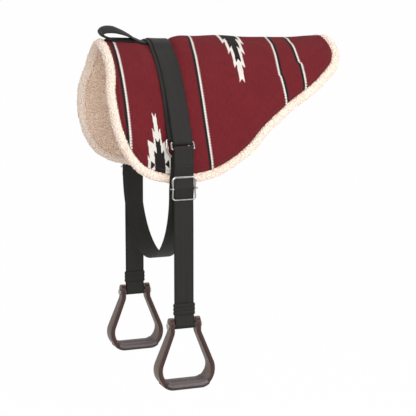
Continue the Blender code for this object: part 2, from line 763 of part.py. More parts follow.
    def turned(name, profile, hollow=False, sides=18):
        """A solid turned about the stirrup bolt, from a profile of (x, radius)."""
        points, faces = [], []
        for x, radius in profile:
            for step in range(sides):
                turn = 2 * math.pi * step / sides
                points.append(Vector((over_strap_x + x, side * bolt.x + radius * math.cos(turn),
                                      bolt.y + radius * math.sin(turn))))
        faces = tube_faces(len(profile), sides)
        last = (len(profile) - 1) * sides
        if hollow:
            faces += [(last + j, last + (j + 1) % sides, (j + 1) % sides, j) for j in range(sides)]
        else:
            faces += [tuple(range(sides)), tuple(range(last, last + sides))]
        return add_object(name, mesh_from(name, points, faces), "steel")

    hole = bolt_radius + gap
    overrun = stirrup_wood
    cutter = turned(hand + "_bolt_hole", [(-post_x - overrun, hole), (post_x + overrun, hole)])
    cutter.hide_render = True
    cutter.display_type = "WIRE"
    drill = frame.modifiers.new("bolt hole", "BOOLEAN")
    drill.operation = "DIFFERENCE"
    drill.object = cutter

    # Tread cover: leather sewn round the tread, with a seam ridge along its middle
    covered = [index for index, p in enumerate(path)
               if abs(p.x) < tread_cover_half and p.y < level(widest_drop)]
    outer_loops = [station(index, gap + leather, tread_ridge) for index in covered]
    inner_loops = [station(index, gap, 0.0) for index in covered]
    points = [p for loop in outer_loops + inner_loops for p in loop]
    count, half_points = len(covered), len(covered) * size
    faces = tube_faces(count, size) + tube_faces(count, size, half_points)
    for i in (0, count - 1):
        for j in range(size):
            k = (j + 1) % size
            faces.append((i * size + j, i * size + k,
                          half_points + i * size + k, half_points + i * size + j))
    add_object(hand + "_tread_cover", mesh_from("tread", points, faces), "leather")

    # Stirrup bolt through both posts, its sleeve between them, and its nut
    outer_x = neck_half + stirrup_wood
    thread_end = outer_x + gap + bolt_head_height
    turned(hand + "_stirrup_bolt",
           [(-thread_end - 0.3 * bolt_head_height, 0.4 * bolt_head_radius),
            (-thread_end, 0.85 * bolt_head_radius),
            (-outer_x - gap - 0.5 * bolt_head_height, bolt_head_radius),
            (-outer_x - gap, bolt_head_radius), (-outer_x - gap, bolt_radius),
            (thread_end, bolt_radius)])
    turned(hand + "_bolt_sleeve",
           [(-neck_half + gap, hole), (-neck_half + gap, sleeve_radius),
            (neck_half - gap, sleeve_radius), (neck_half - gap, hole)], hollow=True)
    turned(hand + "_bolt_nut",
           [(outer_x + gap, hole), (outer_x + gap, nut_radius),
            (thread_end - 0.3 * bolt_head_height, nut_radius), (thread_end, 0.85 * nut_radius),
            (thread_end, hole)], hollow=True, sides=12)

# The girth: folded round both dees' bows, gathered there, and opening out to its full width
bow_height = dee_bar.y - dee_leg
flare = 1.6 * webbing_width
legs_from, legs_to = dee_bow_reach + 2.4 * girth_fold, dee_bow_reach + girth_sewn_back


def girth_row(reach, off, side):
    """A row across the girth near a dee: reach is the distance from the bow's middle, off
    the distance out from the dee's own plane."""
    row = []
    beyond = reach - dee_bow_reach - girth_fold
    for share in (-1.0, -0.5, 0.0, 0.5, 1.0):
        turn = gathered_half_angle * share
        fan = Vector((reach * math.sin(turn), -reach * math.cos(turn)))
        flat = Vector((share * webbing_width / 2, -reach))
        place = fan.lerp(flat, ease(beyond / flare))
        lean = dee_bar.x - (place.y - dee_leg) * lean_share
        out = lean + (girth_plane - lean) * ease(beyond / (4 * girth_fold))
        row.append(Vector((under_strap_x + place.x, side * (out + off), bow_height + place.y)))
    return row


def girth_end(side):
    """The end of the girth: sewn back on the inside, round the bow, then down outside."""
    legs = [legs_from + (legs_to - legs_from) * step / 4 for step in range(5)]
    centre = Vector((dee_bow_reach, 0.0))
    round_bow = wrapped(centre, girth_fold, Vector((legs_from, -layer_pitch)),
                        Vector((legs_from, 0.0)), -1, 8)
    rows = [girth_row(reach, -layer_pitch, side) for reach in reversed(legs)]
    rows += [girth_row(place.x, place.y, side) for place in round_bow]
    rows += [girth_row(reach, 0.0, side) for reach in legs]
    rows += [girth_row(dee_bow_reach + flare * share, 0.0, side) for share in (0.75, 1.0)]
    return rows


near_end = girth_end(-1)
off_end = girth_end(1)
turn_height = near_end[-1][0].z
girth_fall = turn_height - level(girth_bottom_drop)
middle_rows = []
belly_steps = 20
for step in range(1, belly_steps):
    turn = math.pi * step / belly_steps
    place = Vector((-girth_plane * math.cos(turn), turn_height - girth_fall * math.sin(turn)))
    middle_rows.append([Vector((p.x, place.x, place.y)) for p in near_end[-1]])
ribbon("girth_strap", near_end + middle_rows + list(reversed(off_end)))

# The handle: webbing along the ridge, both ends under the straps, raised to a loop in front
base_lift = seat_gap + webbing_thickness / 2
run = handle_end_x - handle_front_x
merge_share, foot_share = 0.42, 0.87
merge_steps = 6


def base_point(share):
    """A point of the lower layer, on the ridge, at a share of the handle's length."""
    x = handle_end_x - run * share
    return Vector((x, crest(x) + base_lift + seat_gap * ease((seat_front - x) / seat_margin)))


base_run = [base_point(merge_share * step / merge_steps) for step in range(merge_steps + 1)]
on_run = [base_point(share) for share in (0.55, 0.68, 0.79, foot_share)]
top_run = [p + Vector((0.0, layer_pitch)) for p in reversed(base_run)]
foot_height = on_run[-1].y
rise = level(0.0) + handle_height - foot_height

# The raised loop: (share of the handle's length, share of its height over its foot)
loop_shares = ((0.97, 0.26), (1.0, 0.58), (0.975, 0.86), (0.90, 1.0), (0.80, 0.96), (0.68, 0.72),
               (0.56, 0.42))
loop_run = [Vector((handle_end_x - run * s, foot_height + rise * h)) for s, h in loop_shares]
raised_part = smooth_path([base_run[-1]] + on_run + loop_run + [top_run[0]], 2)
handle_rows = []
for place in base_run[:-1] + raised_part + top_run[1:]:
    raised = min(max((place.y - crest(place.x)) / handle_height, 0.0), 1.0)
    row = []
    for share in (-1.0, -0.5, 0.0, 0.5, 1.0):
        y = share * webbing_width / 2
        turn = math.asin((abs(y) / half_width) ** (1 / power(place.x)))
        fall = section_height * (1 - math.cos(turn)) * (1 - 0.3 * raised)
        row.append(Vector((place.x, y, place.y - fall)))
    handle_rows.append(row)
ribbon("grab_handle", handle_rows)
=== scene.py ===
# A western bareback pad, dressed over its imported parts. X runs from the front of the pad (-)
# to its tail (+), the near side is -Y, Z is up, and everything is in metres. The sections
# follow the pad as it is put together: studio, cover, foam and fleece, withers straps,
# handle, metal rings, girth, stirrup straps, buckles, keepers, stirrups.

import math

import bmesh
import bpy
import numpy as np
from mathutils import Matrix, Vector


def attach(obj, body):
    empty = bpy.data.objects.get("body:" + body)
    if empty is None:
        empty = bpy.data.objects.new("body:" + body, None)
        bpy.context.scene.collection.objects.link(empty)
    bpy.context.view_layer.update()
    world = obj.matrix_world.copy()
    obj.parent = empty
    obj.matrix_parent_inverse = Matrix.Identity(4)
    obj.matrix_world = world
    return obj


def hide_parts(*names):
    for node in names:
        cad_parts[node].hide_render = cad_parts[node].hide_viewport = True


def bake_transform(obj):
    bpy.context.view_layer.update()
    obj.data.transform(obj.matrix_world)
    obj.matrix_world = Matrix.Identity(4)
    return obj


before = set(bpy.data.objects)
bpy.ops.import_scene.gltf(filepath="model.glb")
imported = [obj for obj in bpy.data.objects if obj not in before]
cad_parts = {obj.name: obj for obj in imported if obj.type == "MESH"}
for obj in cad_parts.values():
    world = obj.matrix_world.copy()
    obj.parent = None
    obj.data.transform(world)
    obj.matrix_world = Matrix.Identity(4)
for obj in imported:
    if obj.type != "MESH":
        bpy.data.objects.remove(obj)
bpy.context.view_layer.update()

# Studio: a seamless pale floor well below the pad, as it is shown hanging free, and soft boxes.
# The floor glows white to the camera, and a share of it stays plain so it keeps a soft shadow.

floor_height = -1.25
floor_radius = 60.0
floor_corners = 64


def fill_in(tree, node, sockets):
    """Gives a node's inputs, by name or number, each a value or the output of another node.
    A node that is given whole stands for its first output in use."""
    for key, value in sockets.items():
        if isinstance(value, bpy.types.Node):
            value = next(output for output in value.outputs if output.enabled)
        if isinstance(value, bpy.types.NodeSocket):
            tree.links.new(value, node.inputs[key])
        else:
            node.inputs[key].default_value = value


def add(tree, kind, sockets, **settings):
    """Adds a node with its own settings, and fills in its inputs."""
    made = tree.nodes.new(kind)
    for name, value in settings.items():
        setattr(made, name, value)
    fill_in(tree, made, sockets)
    return made


def colour(written):
    """A written sRGB colour as linear red, green and blue, and alpha."""
    parts = [int(written[place:place + 2], 16) / 255 for place in (1, 3, 5)]
    linear = [p / 12.92 if p <= 0.04045 else ((p + 0.055) / 1.055) ** 2.4 for p in parts]
    return (*linear, 1.0)


def new_finish(name, values):
    """A material whose shader has these values set on its own sockets."""
    made = bpy.data.materials.new(name)
    made.use_nodes = True
    shader = made.node_tree.nodes["Principled BSDF"]
    fill_in(made.node_tree, shader, values)
    return made, made.node_tree, shader


def new_object(name, mesh, finishes=()):
    """An object in the scene, with these materials on its mesh."""
    for finish in finishes:
        mesh.materials.append(finish)
    made = bpy.data.objects.new(name, mesh)
    bpy.context.scene.collection.objects.link(made)
    return made


# Painted studio floor: matt and even, so only the shadow shows on it
floor_paint, tree, shader = new_finish("matt white floor paint", {
    "Roughness": 0.9, "Specular IOR Level": 0.1})
speckle = add(tree, "ShaderNodeTexNoise", {
    "Vector": add(tree, "ShaderNodeTexCoord", {}).outputs["Object"], "Scale": 3.0})
shades = add(tree, "ShaderNodeMix", {
    "Factor": speckle, "A": colour("#FAFAFA"), "B": colour("#F5F5F5")}, data_type="RGBA")
fill_in(tree, shader, {"Base Color": shades})
glow = add(tree, "ShaderNodeEmission", {"Color": colour("#FFFFFF"), "Strength": 1.0})
path = add(tree, "ShaderNodeLightPath", {})
seen = add(tree, "ShaderNodeMath", {
    0: path.outputs["Is Camera Ray"], 1: path.outputs["Is Glossy Ray"]}, operation="ADD")
share = add(tree, "ShaderNodeMath", {0: seen, 1: 0.985}, operation="MULTIPLY", use_clamp=True)
blend = add(tree, "ShaderNodeMixShader", {"Fac": share, 1: shader, 2: glow})
fill_in(tree, tree.nodes["Material Output"], {"Surface": blend})

disc = bpy.data.meshes.new("floor")
rim = [2 * math.pi * step / floor_corners for step in range(floor_corners)]
disc.from_pydata([(floor_radius * math.cos(turn), floor_radius * math.sin(turn), floor_height)
                  for turn in rim], [], [tuple(range(floor_corners))])
new_object("studio_floor", disc, [floor_paint])

# The room's own light is even and dim, and shows white behind everything
world = bpy.data.worlds.new("soft studio")
bpy.context.scene.world = world
world.use_nodes = True
tree = world.node_tree
path = add(tree, "ShaderNodeLightPath", {})
seen = add(tree, "ShaderNodeMath", {
    0: path.outputs["Is Camera Ray"],
    1: path.outputs["Is Glossy Ray"]}, operation="ADD", use_clamp=True)
room = add(tree, "ShaderNodeBackground", {"Color": colour("#FFFFFF"), "Strength": 0.40})
backdrop = add(tree, "ShaderNodeBackground", {"Color": colour("#FFFFFF"), "Strength": 1.0})
blend = add(tree, "ShaderNodeMixShader", {"Fac": seen, 1: room, 2: backdrop})
fill_in(tree, tree.nodes["World Output"], {"Surface": blend})

# Soft boxes: (place, aimed at, side, power)
for index, (place, aim, size, power) in enumerate((
        ((-0.9, -3.5, 1.0), (0.0, 0.0, -0.2), 1.8, 72.0),
        ((2.0, -2.8, 0.5), (0.0, 0.0, -0.25), 1.6, 48.0),
        ((-0.2, -0.4, 3.0), (0.0, 0.0, 0.0), 1.6, 34.0))):
    lamp = bpy.data.lights.new("soft box", "AREA")
    lamp.shape = "SQUARE"
    lamp.size = size
    lamp.energy = power
    holder = new_object(f"soft_box_{index}", lamp)
    holder.location = place
    holder.rotation_euler = (Vector(aim) - Vector(place)).to_track_quat("-Z", "Y").to_euler()

# The photograph's viewpoint: from the near side and a little to the front, looking down
looks_down, looks_right = 0.176599, 0.363154
eye = bpy.data.cameras.new("camera")
eye.lens = 129.81
eye.sensor_width = 36.0
holder = new_object("camera", eye)
holder.location = (-1.36472, -3.57129, 0.25976)
holder.rotation_euler = (math.radians(90.0) - looks_down, 0.0, -looks_right)
bpy.context.scene.camera = holder
bpy.context.scene.view_settings.view_transform = "Standard"

# Woven cover: a heavy wool blanket, maroon with black and white cross stripes and stepped
# diamonds, ribbed along the stripes. It is stretched over the foam, and its edge is sewn into
# the fleece roll. The straps press it down where they cross the withers.

gap = 0.0003
seat_gap = 0.0008
webbing_width = 0.0508
webbing_thickness = 0.0022
layer_pitch = webbing_thickness + gap
tail_reach = 0.325
half_width = 0.1808
section_height = 0.350
flap_drop = 0.330
front_power, rear_power = 1.12, 1.125
cover_thickness = 0.003
pad_thickness = 0.025
roll_radius = 0.012
crest_fall = 0.010
nudge = tail_reach / 2500

# The ridge and the edge, as shares of the reach to the tail and of the crest's fall or flap's drop
crest_shares = ((-1.0, -0.3), (-0.62, -0.74), (-0.22, 0.0), (0.0, 0.0), (0.437, -0.76),
                (0.683, -0.89), (1.0, -0.64))
edge_shares = ((-0.936, 0.0), (-0.936, 0.18), (-0.97, 0.38), (-0.935, 0.668), (-0.796, 0.898),
               (-0.553, 0.996), (-0.36, 1.015), (-0.157, 0.983), (0.093, 0.848), (0.295, 0.656),
               (0.513, 0.495), (0.651, 0.415), (0.84, 0.297), (1.0, 0.145), (1.0, 0.0))
front_knot, tail_knot = 4, 13
edge_steps = 9

# The seat that the two straps press into the cover, and its shoulders before and behind
overstrap = -0.14495
understrap = overstrap - 0.009
between_straps = overstrap - 0.005
seat_margin, shoulder_length = 0.0304, 0.028
seat_front, seat_rear = understrap - seat_margin, overstrap + seat_margin
shoulder_front, shoulder_rear = seat_front - shoulder_length, seat_rear + shoulder_length
seat_depths = ((shoulder_front, 0.0), (seat_front, 0.009), (seat_rear, 0.016),
               (shoulder_rear, 0.0))


def ease(share):
    """A smooth rise from 0 to 1 as a share goes from 0 to 1, level outside."""
    share = min(max(share, 0.0), 1.0)
    return share * share * (3 - 2 * share)


def stepped(table, share):
    """Height at a share along a table, easing from each of its points to the next."""
    for (low, value), (high, following) in zip(table, table[1:]):
        if share <= high:
            return value + (following - value) * ease((share - low) / (high - low))
    return table[-1][1]


def smooth_path(points, steps):
    """A curve through all the points, with so many steps between neighbours."""
    ends = [2 * points[0] - points[1]] + list(points) + [2 * points[-1] - points[-2]]
    path = []
    for a, b, c, d in zip(ends, ends[1:], ends[2:], ends[3:]):
        for step in range(steps):
            s = step / steps
            path.append(0.5 * (2 * b + (c - a) * s + (2 * a - 5 * b + 4 * c - d) * s * s
                               + (3 * b - 3 * c + d - a) * s * s * s))
    path.append(points[-1].copy())
    return path


def ridge(x):
    """Height of the cover on the ridge, before the straps press into it."""
    return pad_thickness + crest_fall * stepped(crest_shares, x / tail_reach)


def pressed(x):
    """How deep the straps press the ridge down."""
    return stepped(seat_depths, x)


def power(x):
    """The power that gives the section its roundness, from front to tail."""
    return front_power + (rear_power - front_power) * (x / tail_reach + 1) / 2


def unpressed(x, turn):
    """A point of the cover without its seat: turn is 0 on the ridge, negative on the near
    flap."""
    reach = half_width * math.sin(abs(turn)) ** power(x)
    height = ridge(x) - section_height * (1 - math.cos(turn))
    return Vector((x, math.copysign(reach, turn), height))


def outer(x, turn):
    """A point of the cover. The seat fades away down the flaps."""
    return unpressed(x, turn) - Vector((0.0, 0.0, pressed(x) * math.cos(turn) ** 2))


def outward(x, turn, surface=outer):
    """A surface's normal, taken from points a little way either side."""
    tilt = 0.01
    side = 1 if turn >= 0 else -1
    along = surface(x + nudge, turn) - surface(x - nudge, turn)
    if abs(turn) < 2 * tilt:
        flat = along.cross(Vector((0, 1, 0)))
        flat.y = 0
        return flat.normalized()
    down = surface(x, turn + side * tilt) - surface(x, turn - side * tilt)
    return (along.cross(down) * side).normalized()


def inside(x, turn, depth):
    """A point inside the pad. The layers below the cover sink less under the straps."""
    given = 1.0 if depth <= cover_thickness + gap else 0.6 if depth < pad_thickness else 0.3
    down = pressed(x) * math.cos(turn) ** 2 * given
    return unpressed(x, turn) - outward(x, turn, unpressed) * depth - Vector((0.0, 0.0, down))


def turn_for_drop(drop):
    """The turn at which a section has dropped so far from its ridge."""
    return math.acos(1 - drop / section_height)


edge_knots = [Vector(((tail_reach - roll_radius) * along, turn_for_drop(flap_drop * drop)))
              for along, drop in edge_shares]
edge_path = smooth_path(edge_knots, edge_steps)


def edge_inset(index, distance):
    """The pad's edge moved inwards over its middle layer, as (x, turn)."""
    place, middle = edge_path[index], pad_thickness / 2
    tilt = 0.004
    here = max(place.y, 2 * tilt)
    along = (inside(place.x + nudge, here, middle)
             - inside(place.x - nudge, here, middle)) / (2 * nudge)
    down = (inside(place.x, here + tilt, middle)
            - inside(place.x, here - tilt, middle)) / (2 * tilt)
    before = edge_path[max(index - 1, 0)]
    after = edge_path[min(index + 1, len(edge_path) - 1)]
    heading = along * (after.x - before.x) + down * (after.y - before.y)
    inward = heading.cross(outward(place.x, here)).normalized()
    if inward.dot(Vector((place.x, 0, 0)) + down * here) > 0:
        inward.negate()
    return Vector((place.x + distance * inward.dot(along) / along.length_squared,
                   place.y + distance * inward.dot(down) / down.length_squared))


def at_share(points, share):
    """The point of (x, turn) at a share of the way along a stretch of the edge."""
    steps = [math.hypot(b.x - a.x, section_height * (b.y - a.y))
             for a, b in zip(points, points[1:])]
    left = share * sum(steps)
    for (a, b), step in zip(zip(points, points[1:]), steps):
        if left <= step:
            return a.lerp(b, left / step)
        left -= step
    return points[-1].copy()


def pad_grid(inset, columns, rows):
    """Places (x, turn) that fill the pad inside its edge: columns from front to tail, each
    from edge to edge over the ridge. The columns by the straps run straight down. It comes
    with the edge of one flap."""
    edge = [edge_inset(index, inset) for index in range(len(edge_path))]
    first, last = front_knot * edge_steps, tail_knot * edge_steps
    front, bottom = edge[:first + 1], edge[first:last + 1]
    tail = list(reversed(edge[last:]))
    low_x, high_x = front[0].x, tail[0].x
    bottom_x = [p.x for p in bottom]
    bottom_turn = [p.y for p in bottom]
    grid = []
    for place in range(columns + 1):
        x = low_x + (high_x - low_x) * (place / columns)
        column = []
        for row in range(rows + 1):
            down = row / rows
            at_front, at_tail = at_share(front, down), at_share(tail, down)
            ends = []
            for start, end in ((at_front.x, at_tail.x), (bottom_x[0], bottom_x[-1])):
                if x < shoulder_front:
                    part = (x - low_x) / (shoulder_front - low_x)
                    ends.append(start + (shoulder_front - start) * part)
                elif x > shoulder_rear:
                    part = (x - shoulder_rear) / (high_x - shoulder_rear)
                    ends.append(shoulder_rear + (end - shoulder_rear) * part)
                else:
                    ends.append(x)
            front_part, tail_part = at_front.y / front[-1].y, at_tail.y / tail[-1].y
            part = front_part + (tail_part - front_part) * (x - low_x) / (high_x - low_x)
            column.append((ends[0], float(np.interp(ends[1], bottom_x, bottom_turn)) * part))
        grid.append([(x, -turn) for x, turn in reversed(column[1:])] + column)
    return grid, edge


def edge_distance(grid, edge):
    """How far each place of a grid lies from the pad's edge, measured over the surface."""
    line = np.array([(p.x, section_height * p.y) for p in edge])
    places = np.abs(np.array(grid) * (1.0, section_height))
    places[..., 0] = np.array(grid)[..., 0]
    apart = places[:, :, None, :] - line[None, None, :, :]
    return np.sqrt((apart ** 2).sum(-1)).min(-1)


def closed_mesh(name, points, faces):
    """A smooth mesh whose faces are turned outwards."""
    mesh = bpy.data.meshes.new(name)
    mesh.from_pydata([tuple(p) for p in points], [], faces)
    shape = bmesh.new()
    shape.from_mesh(mesh)
    bmesh.ops.recalc_face_normals(shape, faces=shape.faces)
    shape.to_mesh(mesh)
    shape.free()
    mesh.shade_smooth()
    return mesh


def slab(name, tops, bottoms):
    """A closed sheet between two grids of points."""
    tops, bottoms = np.array(tops), np.array(bottoms)
    rows, across = tops.shape[:2]
    under = rows * across
    faces = []
    for i in range(rows - 1):
        for j in range(across - 1):
            a, b = i * across + j, i * across + j + 1
            c, d = b + across, a + across
            faces += [(a, b, c, d), (under + a, under + d, under + c, under + b)]
    rim = ([(i, 0) for i in range(rows)] + [(rows - 1, j) for j in range(1, across)]
           + [(i, across - 1) for i in range(rows - 2, -1, -1)]
           + [(0, j) for j in range(across - 2, 0, -1)])
    for (i, j), (k, m) in zip(rim, rim[1:] + rim[:1]):
        a, b = i * across + j, k * across + m
        faces.append((a, under + a, under + b, b))
    return closed_mesh(name, np.concatenate([tops.reshape(-1, 3), bottoms.reshape(-1, 3)]), faces)


def flat_map(mesh, name, places):
    """A UV map in metres, from one place for each vertex."""
    layer = mesh.uv_layers.new(name=name)
    corners = np.empty(len(mesh.loops), dtype=np.int32)
    mesh.loops.foreach_get("vertex_index", corners)
    layer.data.foreach_set("uv", np.asarray(places, dtype=np.float32)[corners].ravel())


def ripple(x, y, coarse):
    """A soft unevenness between -1 and 1, fixed by the place."""
    wave = math.sin(x * coarse + 1.7 * math.sin(y * coarse * 0.7 + 0.4))
    return 0.6 * wave + 0.4 * math.sin(y * coarse * 1.3 + 2.1 * math.sin(x * coarse * 0.9))


cover_inset = 0.0104
dip_depth, dip_width = 0.0042, 0.015
puff_height, puff_rise, puff_fall = 0.0012, 0.02, 0.06
wave_height, wave_coarse, wave_margin = 0.0007, 55.0, 0.05
flattened_reach, flattened_turn, flattened_fade, flattened_depth = 0.05, 0.75, 0.2, 0.0010
bulge_share, bulge_from, bulge_length = 0.75, seat_rear - 0.002, 0.008
section_turns = np.arange(81) * 1.62 / 80
grid, edge = pad_grid(cover_inset, 96, 46)
from_edge = edge_distance(grid, edge)
tops, bottoms, weave = [], [], []
for i, column in enumerate(grid):
    top_row, bottom_row = [], []
    section = [unpressed(column[len(column) // 2][0], turn) for turn in section_turns]
    lengths = np.cumsum([0.0] + [(b - a).length for a, b in zip(section, section[1:])])
    for j, (x, turn) in enumerate(column):
        # Down into the roll's seam, up in a soft puff beside it, and uneven further in
        away = from_edge[i, j]
        dip = dip_depth * (1 - ease(away / dip_width))
        puff = puff_height * ease(away / puff_rise) * (1 - ease((away - puff_rise) / puff_fall))
        wave = (wave_height * ripple(x, section_height * turn, wave_coarse)
                * ease(away / wave_margin))
        # Flattened under the straps' lower ends, and bulging behind the over strap
        flattened = ((1 - ease(min(abs(x - between_straps) / flattened_reach, 1.0)))
                     * ease((abs(turn) - flattened_turn) / flattened_fade))
        raised = (puff + wave) * (1 - flattened) - flattened_depth * flattened
        bulge = (bulge_share * pressed(x) * math.cos(turn) ** 2
                 * ease((x - bulge_from) / bulge_length))
        normal = outward(x, turn)
        top_row.append(outer(x, turn) + normal * (raised - dip) + Vector((0.0, 0.0, bulge)))
        bottom_row.append(outer(x, turn) - normal * (cover_thickness + dip * 0.6))
        arc_length = float(np.interp(abs(turn), section_turns, lengths))
        weave.append((x, math.copysign(arc_length, turn)))
    tops.append(top_row)
    bottoms.append(bottom_row)
cover_mesh = slab("woven_cover", tops, bottoms)
flat_map(cover_mesh, "weave", weave + weave)

# Blanket wool: matt yarn with a faint fuzz, whose ribs break up the light along the stripes.
# The ribs are drawn 2.4 mm apart where the real ones are about 1.2 mm, too fine to show. The
# pattern is drawn in steps of a yarn's width.
rib_pitch, pick_pitch = 0.0024, 0.0028
yarn_width, pick_width = 0.0011, 0.0013
fray_step, fray_slope, fray_depth = 0.0034, 1.1, 0.0016
wool, tree, shader = new_finish("woven blanket wool", {
    "Roughness": 0.92, "Specular IOR Level": 0.15, "Sheen Weight": 0.05, "Sheen Roughness": 0.5,
    "Sheen Tint": colour("#D9A8A0")})
flat = add(tree, "ShaderNodeUVMap", {}, uv_map="weave")
axes = add(tree, "ShaderNodeSeparateXYZ", {0: flat})
along = add(tree, "ShaderNodeMath", {0: axes.outputs["X"], 1: yarn_width}, operation="SNAP")
down = add(tree, "ShaderNodeMath", {0: axes.outputs["Y"]}, operation="ABSOLUTE")
down = add(tree, "ShaderNodeMath", {0: down, 1: pick_width}, operation="SNAP")
tooth = add(tree, "ShaderNodeMath", {0: axes.outputs["Y"], 1: fray_step}, operation="PINGPONG")

# Stripes: (place on the ridge, drift and bend down the flank, level of its jog, jog, lean below
# the jog, black side). Their edges are drawn frayed 7 mm apart, coarser than the yarns.
stripes = ((-0.2685, -0.044, 0.106, 1.0, 0.0, 0.0, 1), (-0.0645, -0.140, 0.360, 1.0, 0.0, 0.0, 1),
           (0.1505, -0.057, 0.0, 0.152, 0.0025, 0.14, -1), (0.200, 0.0, 0.0, 0.115, 0.005, 0.0, 1))
white_width, black_width = 0.0048, 0.0064
jog_length, lean_length = 0.005, 0.5
white_parts, black_parts = [], []
for place, drift, bend, jog_level, jog, lean, side in stripes:
    bent = add(tree, "ShaderNodeMath", {0: down, 1: bend, 2: drift}, operation="MULTIPLY_ADD")
    drifted = add(tree, "ShaderNodeMath", {0: down, 1: bent, 2: place}, operation="MULTIPLY_ADD")
    jogged = add(tree, "ShaderNodeMapRange", {
        "Value": down, "From Min": jog_level, "From Max": jog_level + jog_length, "To Max": jog})
    below = add(tree, "ShaderNodeMapRange", {
        "Value": down, "From Min": jog_level, "From Max": jog_level + lean_length,
        "To Max": lean_length * lean})
    middle = add(tree, "ShaderNodeMath", {0: jogged, 1: drifted}, operation="ADD")
    middle = add(tree, "ShaderNodeMath", {0: middle, 1: below}, operation="ADD")
    apart = add(tree, "ShaderNodeMath", {0: axes.outputs["X"], 1: middle}, operation="SUBTRACT")
    towards = add(tree, "ShaderNodeMath", {0: apart, 1: float(side)}, operation="MULTIPLY")
    frayed = add(tree, "ShaderNodeMath", {
        0: tooth, 1: fray_slope, 2: white_width / 2 - fray_depth}, operation="MULTIPLY_ADD")
    white_parts.append(add(tree, "ShaderNodeMath", {
        0: towards, 1: white_width / 2, 2: frayed}, operation="COMPARE"))
    black_parts.append(add(tree, "ShaderNodeMath", {
        0: towards, 1: -black_width / 2, 2: black_width / 2}, operation="COMPARE"))

# Stepped diamonds: (middle, lean down the flank, level of the tip, way it grows, level of its
# widest, white bars and black bars, each as inner half, outer half and start). Each bar ends in
# two spikes at its outer corners.
spike_height = 0.010
lean_level = 0.30
diamonds = ((-0.203, 0.06, 0.237, 1, 0.127,
             ((0.0, 0.0048, 0.0), (0.0048, 0.0102, 0.038), (0.0102, 0.0258, 0.066),
              (0.0258, 0.0300, 0.102)),
             ((0.0, 0.0062, 0.062), (0.0062, 0.0130, 0.091), (0.0130, 0.0235, 0.116))),
            (0.030, -0.033, 0.176, -1, 0.5,
             ((0.0, 0.0068, 0.0), (0.0068, 0.0140, 0.040), (0.0140, 0.0215, 0.082),
              (0.0215, 0.0290, 0.118)),
             ((0.0, 0.0068, 0.056), (0.0068, 0.0140, 0.100), (0.0140, 0.0215, 0.138))))
for middle, lean, tip, way, widest, white_bars, black_bars in diamonds:
    leaning = add(tree, "ShaderNodeMath", {
        0: down, 1: lean, 2: middle - lean_level * lean}, operation="MULTIPLY_ADD")
    apart = add(tree, "ShaderNodeMath", {0: along, 1: leaning}, operation="SUBTRACT")
    apart = add(tree, "ShaderNodeMath", {0: apart}, operation="ABSOLUTE")
    reached = add(tree, "ShaderNodeMath", {
        0: down, 1: float(way), 2: -way * tip}, operation="MULTIPLY_ADD")
    mirrored = add(tree, "ShaderNodeMath", {0: 2 * widest, 1: reached}, operation="SUBTRACT")
    reached = add(tree, "ShaderNodeMath", {0: reached, 1: mirrored}, operation="MINIMUM")
    for bars, parts in ((white_bars, white_parts), (black_bars, black_parts)):
        for inner, half, start in bars:
            steep = spike_height / (half - inner)
            wide = add(tree, "ShaderNodeMath", {0: apart, 1: half}, operation="LESS_THAN")
            spiked = add(tree, "ShaderNodeMath", {
                0: apart, 1: steep, 2: reached}, operation="MULTIPLY_ADD")
            long = add(tree, "ShaderNodeMath", {
                0: spiked, 1: start + spike_height + steep * inner}, operation="GREATER_THAN")
            parts.append(add(tree, "ShaderNodeMath", {0: wide, 1: long}, operation="MULTIPLY"))
masks = []
for parts in (white_parts, black_parts):
    total = parts[0]
    for part in parts[1:]:
        total = add(tree, "ShaderNodeMath", {0: total, 1: part}, operation="MAXIMUM")
    masks.append(total)

# The yarn's own colour drifts in long streaks along the ribs
stretched = add(tree, "ShaderNodeMapping", {"Vector": flat, "Scale": (430.0, 60.0, 1.0)})
yarn = add(tree, "ShaderNodeTexNoise", {
    "Vector": stretched, "Scale": 1.0, "Detail": 3.0, "Roughness": 0.6})
broad = add(tree, "ShaderNodeTexNoise", {"Vector": flat, "Scale": 14.0, "Detail": 2.0})
maroon = add(tree, "ShaderNodeMix", {
    "Factor": yarn, "A": colour("#5B141B"), "B": colour("#8A2D34")}, data_type="RGBA")
maroon = add(tree, "ShaderNodeMix", {
    "Factor": broad, "A": maroon, "B": colour("#E6DCDC")}, data_type="RGBA", blend_type="MULTIPLY")
white_yarn = add(tree, "ShaderNodeMix", {
    "Factor": yarn, "A": colour("#D8CFC6"), "B": colour("#FAF6F0")}, data_type="RGBA")
black_yarn = add(tree, "ShaderNodeMix", {
    "Factor": yarn, "A": colour("#131113"), "B": colour("#2B2729")}, data_type="RGBA")
pattern = add(tree, "ShaderNodeMix", {
    "Factor": masks[0], "A": maroon, "B": white_yarn}, data_type="RGBA")
pattern = add(tree, "ShaderNodeMix", {
    "Factor": masks[1], "A": pattern, "B": black_yarn}, data_type="RGBA")

rib_turn = add(tree, "ShaderNodeMath", {
    0: axes.outputs["X"], 1: 2 * math.pi / rib_pitch}, operation="MULTIPLY")
rib = add(tree, "ShaderNodeMath", {0: rib_turn}, operation="SINE")
pick_turn = add(tree, "ShaderNodeMath", {
    0: axes.outputs["Y"], 1: 2 * math.pi / pick_pitch}, operation="MULTIPLY")
pick = add(tree, "ShaderNodeMath", {0: pick_turn}, operation="SINE")
crossed = add(tree, "ShaderNodeMath", {0: pick, 1: 0.35, 2: rib}, operation="MULTIPLY_ADD")
uneven = add(tree, "ShaderNodeMath", {0: yarn, 1: 2.2, 2: crossed}, operation="MULTIPLY_ADD")
bump = add(tree, "ShaderNodeBump", {"Strength": 0.75, "Distance": 0.0007, "Height": uneven})
fill_in(tree, shader, {"Base Color": pattern, "Normal": bump})

woven_cover = new_object("woven_cover", cover_mesh, [wool])


